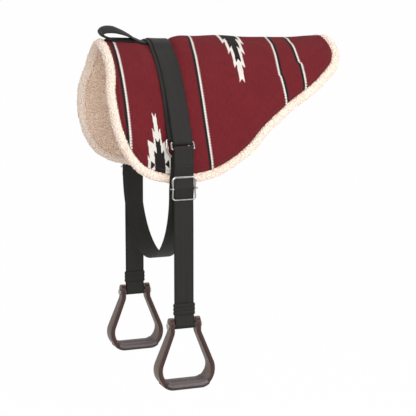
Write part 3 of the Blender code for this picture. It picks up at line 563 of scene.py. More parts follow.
def filled_out(piece, held, most, force):
    """Lets a stuffed piece swell as cloth under pressure, its held vertices staying put, and
    no point moving further than so much."""
    last_frame = 20
    group = piece.vertex_groups.new(name="sewn")
    group.add(held, 1.0, "REPLACE")
    cloth = piece.modifiers.new("swell", "CLOTH")
    cloth.settings.quality = 4
    cloth.settings.mass = 0.4
    cloth.settings.tension_stiffness = 18.0
    cloth.settings.compression_stiffness = 18.0
    cloth.settings.bending_stiffness = 1.2
    cloth.settings.vertex_group_mass = "sewn"
    cloth.settings.use_pressure = True
    cloth.settings.uniform_pressure_force = force
    cloth.settings.effector_weights.gravity = 0.0
    cloth.collision_settings.use_collision = False
    cloth.point_cache.frame_end = last_frame
    start = np.array([v.co for v in piece.data.vertices])
    for step in range(1, last_frame + 1):
        bpy.context.scene.frame_set(step)
    swollen = piece.evaluated_get(bpy.context.evaluated_depsgraph_get())
    moved = np.array([v.co for v in swollen.data.vertices]) - start
    length = np.linalg.norm(moved, axis=1, keepdims=True)
    moved *= np.minimum(1.0, most / np.maximum(length, 1e-9))
    piece.modifiers.remove(cloth)
    piece.data.vertices.foreach_set("co", (start + moved).astype(np.float32).ravel())
    piece.data.update()
    piece.vertex_groups.remove(group)
    bpy.context.scene.frame_set(1)


# The blanket swells a little between its sewn edge and the straps that hold it down. It is held
# in front of them too, where the handle lies on it, and beneath the dees.
held_margin, handle_turn, dee_reach, dee_turn = 0.004, 0.22, 0.04, 0.8
flat_places = [place for column in grid for place in column]
upper = len(flat_places)
held_down = [i for i, (x, turn) in enumerate(flat_places)
             if from_edge.ravel()[i] < held_margin
             or (seat_front - held_margin < x < seat_rear + held_margin)
             or (x < seat_front and abs(turn) < handle_turn)
             or (abs(x - between_straps) < dee_reach and abs(turn) > dee_turn)]
filled_out(woven_cover, held_down + list(range(upper, 2 * upper)),
           most=0.0022, force=3.5)
smoother = woven_cover.modifiers.new("smooth", "SUBSURF")
smoother.levels = smoother.render_levels = 1
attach(woven_cover, "pad")
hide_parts("top_cover")

# Seam stitches: one row of waxed thread that sews the cover to the roll, all the way round. Each
# stitch is short and round, and dips into the cloth at both ends.


def new_tree(name, base, values, result):
    """A Geometry Nodes tree that turns a base into a result, with its group input. Its other
    inputs are given as (name, kind of socket)."""
    tree = bpy.data.node_groups.new(name, "GeometryNodeTree")
    for key, kind in ((base, "Geometry"), *values):
        tree.interface.new_socket(key, in_out="INPUT", socket_type="NodeSocket" + kind)
    tree.interface.new_socket(result, in_out="OUTPUT", socket_type="NodeSocketGeometry")
    return tree, add(tree, "NodeGroupInput", {})


def stitch_tree():
    """Stitches along a line, each a bead of thread stretched along it."""
    tree, given = new_tree("stitched seam", "Line", (
        ("Pitch", "Float"), ("Stitch length", "Float"), ("Thread radius", "Float"),
        ("Thread", "Material")), "Seam")
    curve = add(tree, "GeometryNodeMeshToCurve", {"Mesh": given.outputs["Line"]})
    places = add(tree, "GeometryNodeCurveToPoints", {
        "Curve": curve, "Length": given.outputs["Pitch"]}, mode="LENGTH")
    bead = add(tree, "GeometryNodeMeshUVSphere", {"Segments": 6, "Rings": 4, "Radius": 1.0})
    half = add(tree, "ShaderNodeMath", {
        0: given.outputs["Stitch length"], 1: 0.5}, operation="MULTIPLY")
    size = add(tree, "ShaderNodeCombineXYZ", {
        0: given.outputs["Thread radius"], 1: given.outputs["Thread radius"], 2: half})
    stitch = add(tree, "GeometryNodeTransform", {"Geometry": bead, "Scale": size})
    sewn = add(tree, "GeometryNodeInstanceOnPoints", {
        "Points": places, "Instance": stitch, "Rotation": places.outputs["Rotation"]})
    whole = add(tree, "GeometryNodeRealizeInstances", {"Geometry": sewn})
    smooth = add(tree, "GeometryNodeSetShadeSmooth", {"Geometry": whole})
    threaded = add(tree, "GeometryNodeSetMaterial", {
        "Geometry": smooth, "Material": given.outputs["Thread"]})
    add(tree, "NodeGroupOutput", {"Seam": threaded})
    return tree


def made_by(tree, name, base, values):
    """The plain mesh that a node tree makes from a base mesh, with these named inputs."""
    holder = bpy.data.objects.new(name, base)
    bpy.context.scene.collection.objects.link(holder)
    modifier = holder.modifiers.new(name, "NODES")
    modifier.node_group = tree
    for socket in tree.interface.items_tree:
        if socket.in_out == "INPUT" and socket.name in values:
            modifier[socket.identifier] = values[socket.name]
    holder.update_tag()
    graph = bpy.context.evaluated_depsgraph_get()
    mesh = bpy.data.meshes.new_from_object(holder.evaluated_get(graph))
    bpy.data.objects.remove(holder, do_unlink=True)
    mesh.name = name
    return mesh


seam_tree = stitch_tree()


def seam(name, lines, pitch, length, thread_radius, thread):
    """Stitches along one or more lines of points, as an object."""
    points, edges = [], []
    for line in lines:
        first = len(points)
        points += [tuple(p) for p in line]
        edges += [(first + i, first + i + 1) for i in range(len(line) - 1)]
    base = bpy.data.meshes.new(name)
    base.from_pydata(points, edges, [])
    return new_object(name, made_by(seam_tree, name, base, {
        "Pitch": pitch, "Stitch length": length, "Thread radius": thread_radius,
        "Thread": thread}))


def thread_finish(name, values, dark, pale):
    """Sewing thread: darker and paler bands along each stitch are painted shade and highlight
    on its twist.
    """
    finish, tree, shader = new_finish(name, values)
    twist = add(tree, "ShaderNodeTexWave", {
        "Vector": add(tree, "ShaderNodeTexCoord", {}).outputs["Object"],
        "Scale": 900.0}, bands_direction="DIAGONAL")
    shades = add(tree, "ShaderNodeMix", {
        "Factor": twist.outputs["Fac"], "A": colour(dark), "B": colour(pale)}, data_type="RGBA")
    fill_in(tree, shader, {"Base Color": shades})
    return finish


# Waxed thread: matt, in the blanket's own red, so the seam shows only as a row of dimples
maroon_thread = thread_finish("waxed maroon thread", {"Roughness": 0.6, "Specular IOR Level": 0.4},
                              "#4A1418", "#7E2B30")
seam_inset, seam_lift = 0.0185, 0.0011
seam_edge = [edge_inset(index, seam_inset) for index in range(len(edge_path))]
seam_line = [outer(p.x, -p.y) + outward(p.x, -p.y) * seam_lift for p in seam_edge]
seam_line += [outer(p.x, p.y) + outward(p.x, p.y) * seam_lift for p in reversed(seam_edge)]
edge_seam = seam("cover_edge_seam", [seam_line], pitch=0.0052, length=0.0038,
                 thread_radius=0.0005, thread=maroon_thread)
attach(edge_seam, "pad")

# Foam core: one sheet of open-cell padding cut to the cover, hidden between blanket and
# fleece. It is what keeps the pad's shape.

foam_inset = 0.0145
foam_top = cover_thickness + gap
foam_thickness, foam_clearance = 0.0095, 0.0036
grid, _ = pad_grid(foam_inset, 80, 30)
tops = [[inside(x, turn, foam_top + foam_clearance) for x, turn in column] for column in grid]
bottoms = [[inside(x, turn, foam_top + foam_thickness) for x, turn in column] for column in grid]
foam_mesh = slab("foam_pad", tops, bottoms)

# Open-cell foam: cream and dull. Its cells are drawn 2 mm across, coarser than the real ones.
foam_finish, tree, shader = new_finish("open-cell foam", {"Roughness": 0.95})
place = add(tree, "ShaderNodeTexCoord", {})
cells = add(tree, "ShaderNodeTexVoronoi", {"Vector": place.outputs["Object"], "Scale": 500.0})
shades = add(tree, "ShaderNodeMix", {
    "Factor": cells, "A": colour("#B9B39C"), "B": colour("#E2DCC8")}, data_type="RGBA")
bump = add(tree, "ShaderNodeBump", {"Strength": 0.5, "Distance": 0.001, "Height": cells})
fill_in(tree, shader, {"Base Color": shades, "Normal": bump})
foam_pad = new_object("foam_pad", foam_mesh, [foam_finish])
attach(foam_pad, "pad")
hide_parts("foam_core")

# Fleece lining: deep curly fleece against the horse's back. The pile stands in small curls
# with darker hollows between them, and hides the cloth that it grows from.


def fleece_finish(name, hollow, tip, tint):
    """Curly wool: matt and warm, painted darker in the hollows between its curls and paler at
    their tips, as shade and light on the pile. The curls are about 5 mm across, and a broad
    tint makes them uneven."""
    finish, tree, shader = new_finish(name, {
        "Roughness": 1.0, "Specular IOR Level": 0.1, "Sheen Weight": 0.2, "Sheen Roughness": 0.6,
        "Sheen Tint": colour("#FFF4EA")})
    place = add(tree, "ShaderNodeTexCoord", {})
    curls = add(tree, "ShaderNodeTexNoise", {
        "Vector": place.outputs["Object"], "Scale": 190.0, "Detail": 4.0, "Roughness": 0.65})
    broad = add(tree, "ShaderNodeTexNoise", {
        "Vector": place.outputs["Object"], "Scale": 26.0, "Detail": 2.0})
    # Painted shade and light: darker in the curls' hollows, paler at their tips
    pile = add(tree, "ShaderNodeMix", {
        "Factor": curls, "A": colour(hollow), "B": colour(tip)}, data_type="RGBA")
    pile = add(tree, "ShaderNodeMix", {
        "Factor": broad, "A": pile, "B": colour(tint)}, data_type="RGBA", blend_type="MULTIPLY")
    bump = add(tree, "ShaderNodeBump", {"Strength": 0.5, "Distance": 0.0014, "Height": curls})
    fill_in(tree, shader, {"Base Color": pile, "Normal": bump})
    return finish


# The lining's fleece is a darker, browner copy of the roll's: painted shade for the inside
# of the flaps
fleece = fleece_finish("curly wool fleece", "#E6D1C0", "#FCF4EC", "#F7EFE8")
shaded_lining_fleece = fleece_finish("wool fleece darkened as painted shade", "#E0C5AF", "#F8E7D9", "#F3EAE2")


def curl_tree():
    """Curls of pile all over a surface, each turned and sized at random from the seed. The
    surface itself stays under them."""
    tree, given = new_tree("fleece pile", "Cloth", (
        ("Spacing", "Float"), ("Curl radius", "Float"), ("Stand", "Float"), ("Seed", "Int"),
        ("Pile", "Material")), "Fleece")
    spread = add(tree, "GeometryNodeDistributePointsOnFaces", {
        "Mesh": given.outputs["Cloth"], "Distance Min": given.outputs["Spacing"],
        "Density Max": 120000.0, "Seed": given.outputs["Seed"]}, distribute_method="POISSON")
    curl = add(tree, "GeometryNodeMeshIcoSphere", {"Radius": 1.0, "Subdivisions": 1})
    longer = add(tree, "ShaderNodeMath", {
        0: given.outputs["Curl radius"], 1: 0.75}, operation="MULTIPLY")
    size = add(tree, "ShaderNodeCombineXYZ", {
        0: given.outputs["Curl radius"], 1: longer, 2: given.outputs["Stand"]})
    shaped = add(tree, "GeometryNodeTransform", {"Geometry": curl, "Scale": size})
    sizes = add(tree, "FunctionNodeRandomValue", {
        "Min": 0.7, "Max": 1.25, "Seed": given.outputs["Seed"]}, data_type="FLOAT")
    leaning = add(tree, "FunctionNodeRandomValue", {
        "Min": (-0.7, -0.7, -3.1), "Max": (0.7, 0.7, 3.1),
        "Seed": given.outputs["Seed"]}, data_type="FLOAT_VECTOR")
    standing = add(tree, "GeometryNodeInstanceOnPoints", {
        "Points": spread, "Instance": shaped, "Rotation": spread.outputs["Rotation"],
        "Scale": sizes})
    tilted = add(tree, "GeometryNodeRotateInstances", {"Instances": standing, "Rotation": leaning})
    whole = add(tree, "GeometryNodeRealizeInstances", {"Geometry": tilted})
    joined = add(tree, "GeometryNodeJoinGeometry", {0: whole})
    tree.links.new(given.outputs["Cloth"], joined.inputs[0])
    smooth = add(tree, "GeometryNodeSetShadeSmooth", {"Geometry": joined})
    coloured = add(tree, "GeometryNodeSetMaterial", {
        "Geometry": smooth, "Material": given.outputs["Pile"]})
    add(tree, "NodeGroupOutput", {"Fleece": coloured})
    return tree


pile_tree = curl_tree()
lining_inset = 0.0096
lining_top = foam_top + foam_thickness + gap
lining_base, lining_wave, lining_coarse = pad_thickness - 0.0016, 0.0007, 330.0
grid, _ = pad_grid(lining_inset, 72, 40)
tops = [[inside(x, turn, lining_top) for x, turn in column] for column in grid]
bottoms = [[inside(x, turn, lining_base
                   + lining_wave * ripple(x, section_height * turn, lining_coarse))
            for x, turn in column] for column in grid]
lining_cloth = slab("fleece_lining_cloth", tops, bottoms)
fleece_underside = new_object("fleece_underside", made_by(
    pile_tree, "fleece_underside", lining_cloth, {
        "Spacing": 0.0058, "Curl radius": 0.0046, "Stand": 0.0026, "Seed": 3,
        "Pile": shaded_lining_fleece}))
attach(fleece_underside, "pad")
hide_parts("fleece_lining")

# Edge roll: a stuffed tube of the same fleece that binds the pad's edge all the way round,
# sewn to the cover and the lining. Its pile hides the seams.

near_edge = [inside(p.x, -p.y, pad_thickness / 2) for p in edge_path]
off_edge = [Vector((p.x, -p.y, p.z)) for p in reversed(near_edge[1:-1])]


def skin(name, rings, closed, shift=0):
    """A mesh over rings with the same count of points, each joined to the next. It closes on
    itself, where the last joint may be turned by a shift, or it has a flat face at each end."""
    size, last = len(rings[0]), len(rings) - 1
    joints = [(i, i + 1, 0) for i in range(last)] + ([(last, 0, shift)] if closed else [])
    faces = [(i * size + j, i * size + (j + 1) % size, k * size + (j + 1 + turned) % size,
              k * size + (j + turned) % size) for i, k, turned in joints for j in range(size)]
    if not closed:
        faces += [tuple(range(size)), tuple(range(last * size, (last + 1) * size))]
    return closed_mesh(name, [point for ring in rings for point in ring], faces)


def tube(name, line, radii, sides, closed=True):
    """A round tube along a line of points, with a radius at each. Its rings keep their turn
    along the line."""
    count = len(line)
    places = np.array([tuple(p) for p in line])
    rings, side = [], None
    for i in range(count):
        before = places[(i - 1) % count] if closed or i else places[0]
        after = places[(i + 1) % count] if closed or i < count - 1 else places[-1]
        heading = Vector(after - before).normalized()
        if side is None:
            side = heading.orthogonal().normalized()
        side = (side - heading * side.dot(heading)).normalized()
        up = heading.cross(side)
        turns = [2 * math.pi * step / sides for step in range(sides)]
        rings.append([Vector(places[i]) + (side * math.cos(turn) + up * math.sin(turn)) * radii[i]
                      for turn in turns])
    twist = min(range(sides), key=lambda k: (rings[0][k] - rings[-1][0]).length)
    return skin(name, rings, closed, twist)


# The cloth under the pile: lumpy like stuffing, and held by two seam lines while it swells
roll_sides, sewn_sides = 16, (4, 5)
cloth_depth, lump_height = 0.0014, 0.0005
roll_line = near_edge + off_edge
roll_radii = [roll_radius - cloth_depth
              + lump_height * math.sin(0.83 * i) * math.sin(0.31 * i + 1.0)
              for i in range(len(roll_line))]
roll_cloth = new_object("fleece_roll_cloth",
                        tube("fleece_roll_cloth", roll_line, roll_radii, roll_sides), [fleece])
filled_out(roll_cloth, [i for i in range(len(roll_cloth.data.vertices))
                        if i % roll_sides in sewn_sides], most=0.0008, force=4.0)
fleece_roll = new_object("fleece_roll", made_by(
    pile_tree, "fleece_roll", roll_cloth.data.copy(), {
        "Spacing": 0.0041, "Curl radius": 0.0034, "Stand": 0.0021, "Seed": 11, "Pile": fleece}))
bpy.data.objects.remove(roll_cloth, do_unlink=True)
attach(fleece_roll, "pad")
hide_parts("edge_roll")

# Withers straps: two layers of 2 inch nylon webbing over the withers. The under strap folds
# round the girth's dees, with its ends sewn back outside. The over strap lies on it, a little
# further back, and folds round the stirrup rings, with its ends sewn back inside.

wire_radius = 0.0025
fold_radius = wire_radius + gap + webbing_thickness / 2
crossing_top = (ridge(overstrap) - pressed(overstrap) + 2 * seat_gap + 3 * layer_pitch
                + webbing_thickness)
handle_stack = 2 * layer_pitch + seat_gap
sewn_back = 0.040

# Nylon webbing: black yarn in lengthwise cords crossed by ribs, shinier than the blanket. The
# cords are drawn 3.2 mm apart and the ribs 3.4 mm, where the real ones are about half that.
# Raised yarn is painted paler grey as a highlight, long paler streaks along the webbing are
# painted sheen, and the selvedges stay dark.
cord_pitch, cross_pitch = 0.0032, 0.0034
selvedge_from = 0.0222
nylon, tree, shader = new_finish("black nylon webbing", {
    "Roughness": 0.66, "Specular IOR Level": 0.25, "Sheen Weight": 0.02, "Sheen Roughness": 0.4})
flat = add(tree, "ShaderNodeUVMap", {}, uv_map="weave")
axes = add(tree, "ShaderNodeSeparateXYZ", {0: flat})
cord_turn = add(tree, "ShaderNodeMath", {
    0: axes.outputs["Y"], 1: math.pi / cord_pitch}, operation="MULTIPLY")
cord = add(tree, "ShaderNodeMath", {0: cord_turn}, operation="SINE")
cord = add(tree, "ShaderNodeMath", {0: cord}, operation="ABSOLUTE")
cell = add(tree, "ShaderNodeMath", {0: axes.outputs["Y"], 1: cord_pitch}, operation="DIVIDE")
cell = add(tree, "ShaderNodeMath", {0: cell}, operation="FLOOR")
rib_place = add(tree, "ShaderNodeMath", {
    0: cell, 1: cross_pitch / 2, 2: axes.outputs["X"]}, operation="MULTIPLY_ADD")
rib_turn = add(tree, "ShaderNodeMath", {
    0: rib_place, 1: 2 * math.pi / cross_pitch}, operation="MULTIPLY")
rib = add(tree, "ShaderNodeMath", {0: rib_turn}, operation="SINE")
weave_height = add(tree, "ShaderNodeMath", {0: rib, 1: 0.45, 2: cord}, operation="MULTIPLY_ADD")
# Painted sheen: long paler streaks along the webbing, mixed into its black
stretched = add(tree, "ShaderNodeMapping", {"Vector": flat, "Scale": (5.0, 190.0, 1.0)})
sheen_streaks = add(tree, "ShaderNodeTexNoise", {"Vector": stretched, "Scale": 1.0, "Detail": 3.0})
fuzz = add(tree, "ShaderNodeTexNoise", {"Vector": flat, "Scale": 700.0, "Detail": 2.0})
coloured = add(tree, "ShaderNodeMix", {
    "Factor": sheen_streaks, "A": colour("#050504"), "B": colour("#201E1B")}, data_type="RGBA")
# Painted highlight: the raised yarn of the weave is mixed paler grey
raised_highlight = add(tree, "ShaderNodeMath", {0: weave_height, 1: 0.14}, operation="MULTIPLY")
coloured = add(tree, "ShaderNodeMix", {
    "Factor": raised_highlight, "A": coloured, "B": colour("#302F2D")}, data_type="RGBA")
margin = add(tree, "ShaderNodeMath", {0: axes.outputs["Y"]}, operation="ABSOLUTE")
margin = add(tree, "ShaderNodeMath", {0: margin, 1: selvedge_from}, operation="GREATER_THAN")
margin = add(tree, "ShaderNodeMath", {0: margin, 1: 0.8}, operation="MULTIPLY")
coloured = add(tree, "ShaderNodeMix", {
    "Factor": margin, "A": coloured, "B": colour("#0A0A09")}, data_type="RGBA")
weave_height = add(tree, "ShaderNodeMath", {
    0: fuzz, 1: 0.5, 2: weave_height}, operation="MULTIPLY_ADD")
bump = add(tree, "ShaderNodeBump", {"Strength": 0.6, "Distance": 0.0005, "Height": weave_height})
fill_in(tree, shader, {"Base Color": coloured, "Normal": bump})


def arc(centre, radius, start, end, steps):
    """Points on an arc in a plane, angles in degrees from the first axis."""
    turns = [math.radians(start + (end - start) * step / steps) for step in range(steps + 1)]
    return [centre + radius * Vector((math.cos(turn), math.sin(turn))) for turn in turns]


def wrapped(centre, radius, before, after, turning, steps):
    """The arc of webbing round a bar, between the tangents from one point and to the next.
    Turning is 1 where the webbing goes round anticlockwise, and -1 the other way."""
    arriving, leaving = before - centre, after - centre
    start = math.atan2(arriving.y, arriving.x) + turning * math.acos(radius / arriving.length)
    end = math.atan2(leaving.y, leaving.x) - turning * math.acos(radius / leaving.length)
    sweep = (turning * (end - start)) % (2 * math.pi)
    return arc(centre, radius, math.degrees(start), math.degrees(start + turning * sweep), steps)


def turn_at(x, z):
    """The turn at which the cover reaches a height, seat and all."""
    share = 1.0
    for _ in range(6):
        share = 1 - (ridge(x) - z - pressed(x) * share ** 2) / section_height
    return math.acos(share)


def level(drop):
    """The height that lies so far below the straps' crossing."""
    return crossing_top - drop


def flank(x, z):
    """How far from the middle plane the cover lies at a height."""
    return outer(x, turn_at(x, z)).y


def around(path, x_middle, side):
    """Rows of webbing that lies across X, from (distance from the middle plane, height)."""
    return [[Vector((x_middle + webbing_width / 2 * s, side * p.x, p.y)) for s in (-1, 0, 1)]
            for p in path]


def finer(rows, spacing):
    """More rows between the given ones, every column on a smooth curve through its points."""
    rows = np.array(rows, dtype=float)
    steps = np.linalg.norm(np.diff(rows, axis=0), axis=2).mean(1)
    slopes = np.diff(rows, axis=0) / steps[:, None, None]
    tangents = np.empty_like(rows)
    tangents[0], tangents[-1] = slopes[0], slopes[-1]
    before, after = steps[:-1, None, None], steps[1:, None, None]
    tangents[1:-1] = (slopes[:-1] * after + slopes[1:] * before) / (before + after)
    made = []
    for i, step in enumerate(steps):
        parts = max(1, int(math.ceil(step / spacing)))
        for part in range(parts):
            s = part / parts
            made.append(rows[i] * (2 * s ** 3 - 3 * s ** 2 + 1)
                        + tangents[i] * step * (s ** 3 - 2 * s ** 2 + s)
                        + rows[i + 1] * (3 * s ** 2 - 2 * s ** 3)
                        + tangents[i + 1] * step * (s ** 3 - s ** 2))
    made.append(rows[-1])
    return np.array(made)


def webbing(name, rows, spacing=0.004, across=9, thickness=webbing_thickness):
    """Webbing along rows of points in the middle of its thickness: a closed band with round
    selvedges, and its length and width as a map in metres. It comes with its length."""
    rows = finer(rows, spacing)
    given = rows.shape[1]
    half = np.linalg.norm(np.diff(rows, axis=1), axis=2).sum(1).mean() / 2
    shares = np.linspace(-1, 1, across) * (half - thickness / 2) / half
    place = (shares + 1) / 2 * (given - 1)
    low = np.minimum(place.astype(int), given - 2)
    part = (place - low)[None, :, None]
    flat_rows = rows[:, low] * (1 - part) + rows[:, low + 1] * part
    forward = np.gradient(flat_rows, axis=0)
    sideways = np.gradient(flat_rows, axis=1)
    normal = np.cross(forward, sideways)
    normal /= np.linalg.norm(normal, axis=2, keepdims=True)
    sideways /= np.linalg.norm(sideways, axis=2, keepdims=True)
    lengths = np.concatenate([[0], np.cumsum(np.linalg.norm(
        np.diff(flat_rows[:, across // 2], axis=0), axis=1))])
    selvedge_turns, selvedge_inset = [math.radians(turn) for turn in (45, 90, 135)], 0.0003
    rings, flat_places = [], []
    for i, row in enumerate(flat_rows):
        # Over one face, round the selvedge, back under the other face, and round again
        ring, widths = [], []
        for face, edge, order in ((1, -1, range(across)), (-1, 0, range(across - 1, -1, -1))):
            for j in order:
                ring.append(row[j] + face * normal[i, j] * thickness / 2)
                widths.append(shares[j] * half)
            for turn in selvedge_turns:
                ring.append(row[edge] + face * (sideways[i, edge] * math.sin(turn)
                                                + normal[i, edge] * math.cos(turn))
                            * thickness / 2)
                widths.append(face * (half - selvedge_inset))
        rings.append(ring)
        flat_places += [(lengths[i], width) for width in widths]
    mesh = skin(name, rings, False)
    mesh.set_sharp_from_angle(angle=math.radians(50))
    flat_map(mesh, "weave", flat_places)
    made = new_object(name, mesh, [nylon])
    return made, float(lengths[-1])


# Levels below the crossing: where the straps leave the pad's surface, and the dee's bar
leave_drop, dee_drop = 0.185, 0.234
rise_inner = 0.6 * webbing_width
rise_outer = rise_inner + 0.45 * webbing_width
leave_turn = turn_at(understrap, level(leave_drop))
surface_steps = 45


def surface_rows(x_middle, count, lift):
    """Rows of webbing that follows the pad from the ridge down one flank, raised over the
    handle's ends."""
    rows = []
    for step in range(count + 1):
        turn = leave_turn * step / surface_steps
        reach = outer(x_middle, turn).y
        raised = lift + handle_stack * (1 - ease((reach - rise_inner) / (rise_outer - rise_inner)))
        rows.append([outer(x_middle + s * webbing_width / 2, turn)
                     + outward(x_middle + s * webbing_width / 2, turn) * raised
                     for s in (-1, 0, 1)])
    return rows


def plane_point(row):
    """The middle of a row, as (distance from the middle plane, height)."""
    middle = (row[0] + row[-1]) / 2
    return Vector((middle.y, middle.z))


def falling(x_middle, start, end, steps):
    """A path down beside the flank, its distance from the cover easing from one end's to the
    other's."""
    lift_start = start.x - flank(x_middle, start.y)
    lift_end = end.x - flank(x_middle, end.y)
    path = []
    for step in range(steps + 1):
        z = start.y + (end.y - start.y) * step / steps
        path.append(Vector((flank(x_middle, z) + lift_start
                            + (lift_end - lift_start) * ease(step / steps), z)))
    return path


def beside(path, distance):
    """The same plane path, moved sideways by a distance."""
    moved = []
    for index, point in enumerate(path):
        heading = path[min(index + 1, len(path) - 1)] - path[max(index - 1, 0)]
        moved.append(point + Vector((-heading.y, heading.x)).normalized() * distance)
    return moved


def across_the_withers(name, off_half):
    """A strap from its off half, mirrored for the near one, which starts at the ridge."""
    near_half = [[Vector((p.x, -p.y, p.z)) for p in row] for row in off_half[1:]]
    return webbing(name, list(reversed(off_half)) + near_half)


under_lift = seat_gap + webbing_thickness / 2
dee_bar = Vector((flank(understrap, level(dee_drop)) + seat_gap + webbing_thickness + fold_radius,
                  level(dee_drop)))
under_rows = surface_rows(understrap, surface_steps, under_lift)
under_fall = falling(understrap, plane_point(under_rows[-1]),
                     dee_bar + Vector((-fold_radius, 2 * fold_radius)), 10)
under_back = [p for p in reversed(beside(under_fall, layer_pitch))
              if dee_bar.y + 3.5 * fold_radius < p.y < dee_bar.y + sewn_back]
under_fold = wrapped(dee_bar, fold_radius, under_fall[-1], under_back[0], 1, 18)
under_end = under_fall[1:] + under_fold + under_back
strap_under, length = across_the_withers(
    "withers_strap_under", under_rows + around(under_end, understrap, 1))
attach(strap_under, "pad")
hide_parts("under_strap")

dee_inner_half, dee_leg, dee_lean = 0.0255, 0.016, 0.0066
dee_bow_reach = dee_inner_half + wire_radius
lean_share = dee_lean / (dee_leg + dee_bow_reach)
folds_apart = 2 * fold_radius + webbing_thickness + gap + seat_gap
ring_bar_fall = 0.006
ring_bar = dee_bar + Vector((math.sqrt(folds_apart ** 2 - ring_bar_fall ** 2), -ring_bar_fall))
over_rows = surface_rows(overstrap, surface_steps - 9, under_lift + layer_pitch)
beside_dee = dee_bar + Vector((fold_radius + webbing_thickness + 1.5 * layer_pitch,
                               2 * fold_radius))
sewn_level = level(dee_drop - 0.8 * sewn_back)
beside_sewn = Vector((flank(understrap, sewn_level) + seat_gap + 4.6 * layer_pitch, sewn_level))
over_fall = falling(overstrap, plane_point(over_rows[-1]), beside_sewn, 8)
over_fall += smooth_path([over_fall[-2], beside_sewn, beside_dee,
                          ring_bar + Vector((fold_radius, fold_radius))], 6)[7:]
over_back = [p for p in reversed(beside(over_fall, -layer_pitch))
             if ring_bar.y + 3 * fold_radius < p.y < ring_bar.y + sewn_back]

# The fold hangs a little slack below the ring's bar
slack = 0.0024
over_fold = wrapped(ring_bar, fold_radius, over_fall[-1], over_back[0], -1, 18)
over_fold = [Vector((p.x, p.y - slack * ease((ring_bar.y - p.y) / fold_radius)))
             for p in over_fold]
over_end = over_fall[1:] + over_fold + over_back
strap_over, length = across_the_withers(
    "withers_strap_over", over_rows + around(over_end, overstrap, 1))
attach(strap_over, "pad")
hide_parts("over_strap")

# Grab handle: a loop of the same webbing along the ridge. Both ends are held under the straps,
# and its front stands up, so a rider's hand fits through.

handle_end_x = between_straps
handle_front_x = edge_shares[0][0] * (tail_reach - roll_radius) + 0.006
handle_height = 0.0325
run = handle_end_x - handle_front_x

# Shares of the run: where the two layers part, and where the loop's foot lifts off the ridge
merge_share, foot_share = 0.42, 0.87
merge_steps = 10
pull, pull_from, pull_length = 0.006, 0.02, 0.05


def base_point(share):
    """A point of the lower layer, on the ridge, at a share of the handle's length."""
    x = handle_end_x - run * share
    return Vector((x, ridge(x) - pressed(x) + under_lift
                   + seat_gap * ease((seat_front - x) / 0.005)))


base_run = [base_point(merge_share * step / merge_steps) for step in range(merge_steps + 1)]
on_run = [base_point(share) for share in (0.55, 0.68, 0.79, foot_share)]
top_run = [p + Vector((0.0, layer_pitch)) for p in reversed(base_run)]
foot_height = on_run[-1].y
rise = level(0.0) + handle_height - foot_height

# The loop's side view: (share of the run, share of the rise)
loop_shares = ((0.975, 0.22), (1.035, 0.56), (1.03, 0.86), (0.95, 1.01), (0.82, 0.98),
               (0.69, 0.74), (0.56, 0.42))
loop_run = [Vector((handle_end_x - run * along, foot_height + rise * height))
            for along, height in loop_shares]
raised_part = smooth_path([base_run[-1]] + on_run + loop_run + [top_run[0]], 5)
handle_rows = []
for place in base_run[:-1] + raised_part + top_run[1:]:
    # A raised row arches more, and the loop is pulled a little to the near side
    raised = min(max((place.y - ridge(place.x) + pressed(place.x)) / handle_height, 0.0), 1.0)
    pulled = pull * ease((handle_end_x - place.x - pull_from) / pull_length)
    row = []
    for share in np.linspace(-1, 1, 9):
        y = share * webbing_width / 2 - pulled
        turn = math.asin((abs(y) / half_width) ** (1 / power(place.x)))
        fall = section_height * (1 - math.cos(turn)) * (1 + 1.2 * raised ** 2)
        row.append(Vector((place.x, y, place.y - fall)))
    handle_rows.append(row)
grab_loop, length = webbing("grab_loop", handle_rows)
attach(grab_loop, "pad")
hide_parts("grab_handle")

# Dees and strap rings: bent and welded steel wire, nickel plated. The dees hang in the under
# strap's folds and hold the girth, and the rings in the over strap's folds hold the stirrups.


def rounded_corners(corners, steps):
    """An outline from (point, corner radius), with an arc at each corner that has one."""
    path = []
    for index, (corner, radius) in enumerate(corners):
        before = corners[index - 1][0]
        after = corners[(index + 1) % len(corners)][0]
        if not radius:
            path.append(corner)
            continue
        back, on = (before - corner).normalized(), (after - corner).normalized()
        half = back.angle(on) / 2
        centre = corner + (back + on).normalized() * (radius / math.sin(half))
        start = corner + back * (radius / math.tan(half)) - centre
        end = corner + on * (radius / math.tan(half)) - centre
        sweep = start.angle(end)
        for step in range(steps + 1):
            share = step / steps
            path.append(centre + (start * math.sin((1 - share) * sweep)
                                  + end * math.sin(share * sweep)) / math.sin(sweep))
    return path


# Nickel plate: bright and slightly warm, with fine scratches that blur its reflections
nickel, tree, shader = new_finish("nickel plated steel", {"Metallic": 1.0})
place = add(tree, "ShaderNodeTexCoord", {})
scuffs = add(tree, "ShaderNodeTexNoise", {
    "Vector": place.outputs["Object"], "Scale": 420.0, "Detail": 4.0, "Roughness": 0.7})
tarnish = add(tree, "ShaderNodeTexNoise", {
    "Vector": place.outputs["Object"], "Scale": 60.0, "Detail": 2.0})
rubbed = add(tree, "ShaderNodeMapRange", {"Value": scuffs, "To Min": 0.12, "To Max": 0.30})
plate = add(tree, "ShaderNodeMix", {
    "Factor": tarnish, "A": colour("#858380"), "B": colour("#B3B1AE")}, data_type="RGBA")
bump = add(tree, "ShaderNodeBump", {"Strength": 0.15, "Distance": 0.0003, "Height": scuffs})
fill_in(tree, shader, {"Roughness": rubbed, "Base Color": plate, "Normal": bump})


def metal(name, mesh, body, node):
    """A nickel plated piece that rides on a body and stands for a node."""
    made = new_object(name, mesh, [nickel])
    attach(made, body)
    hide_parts(node)
    return made


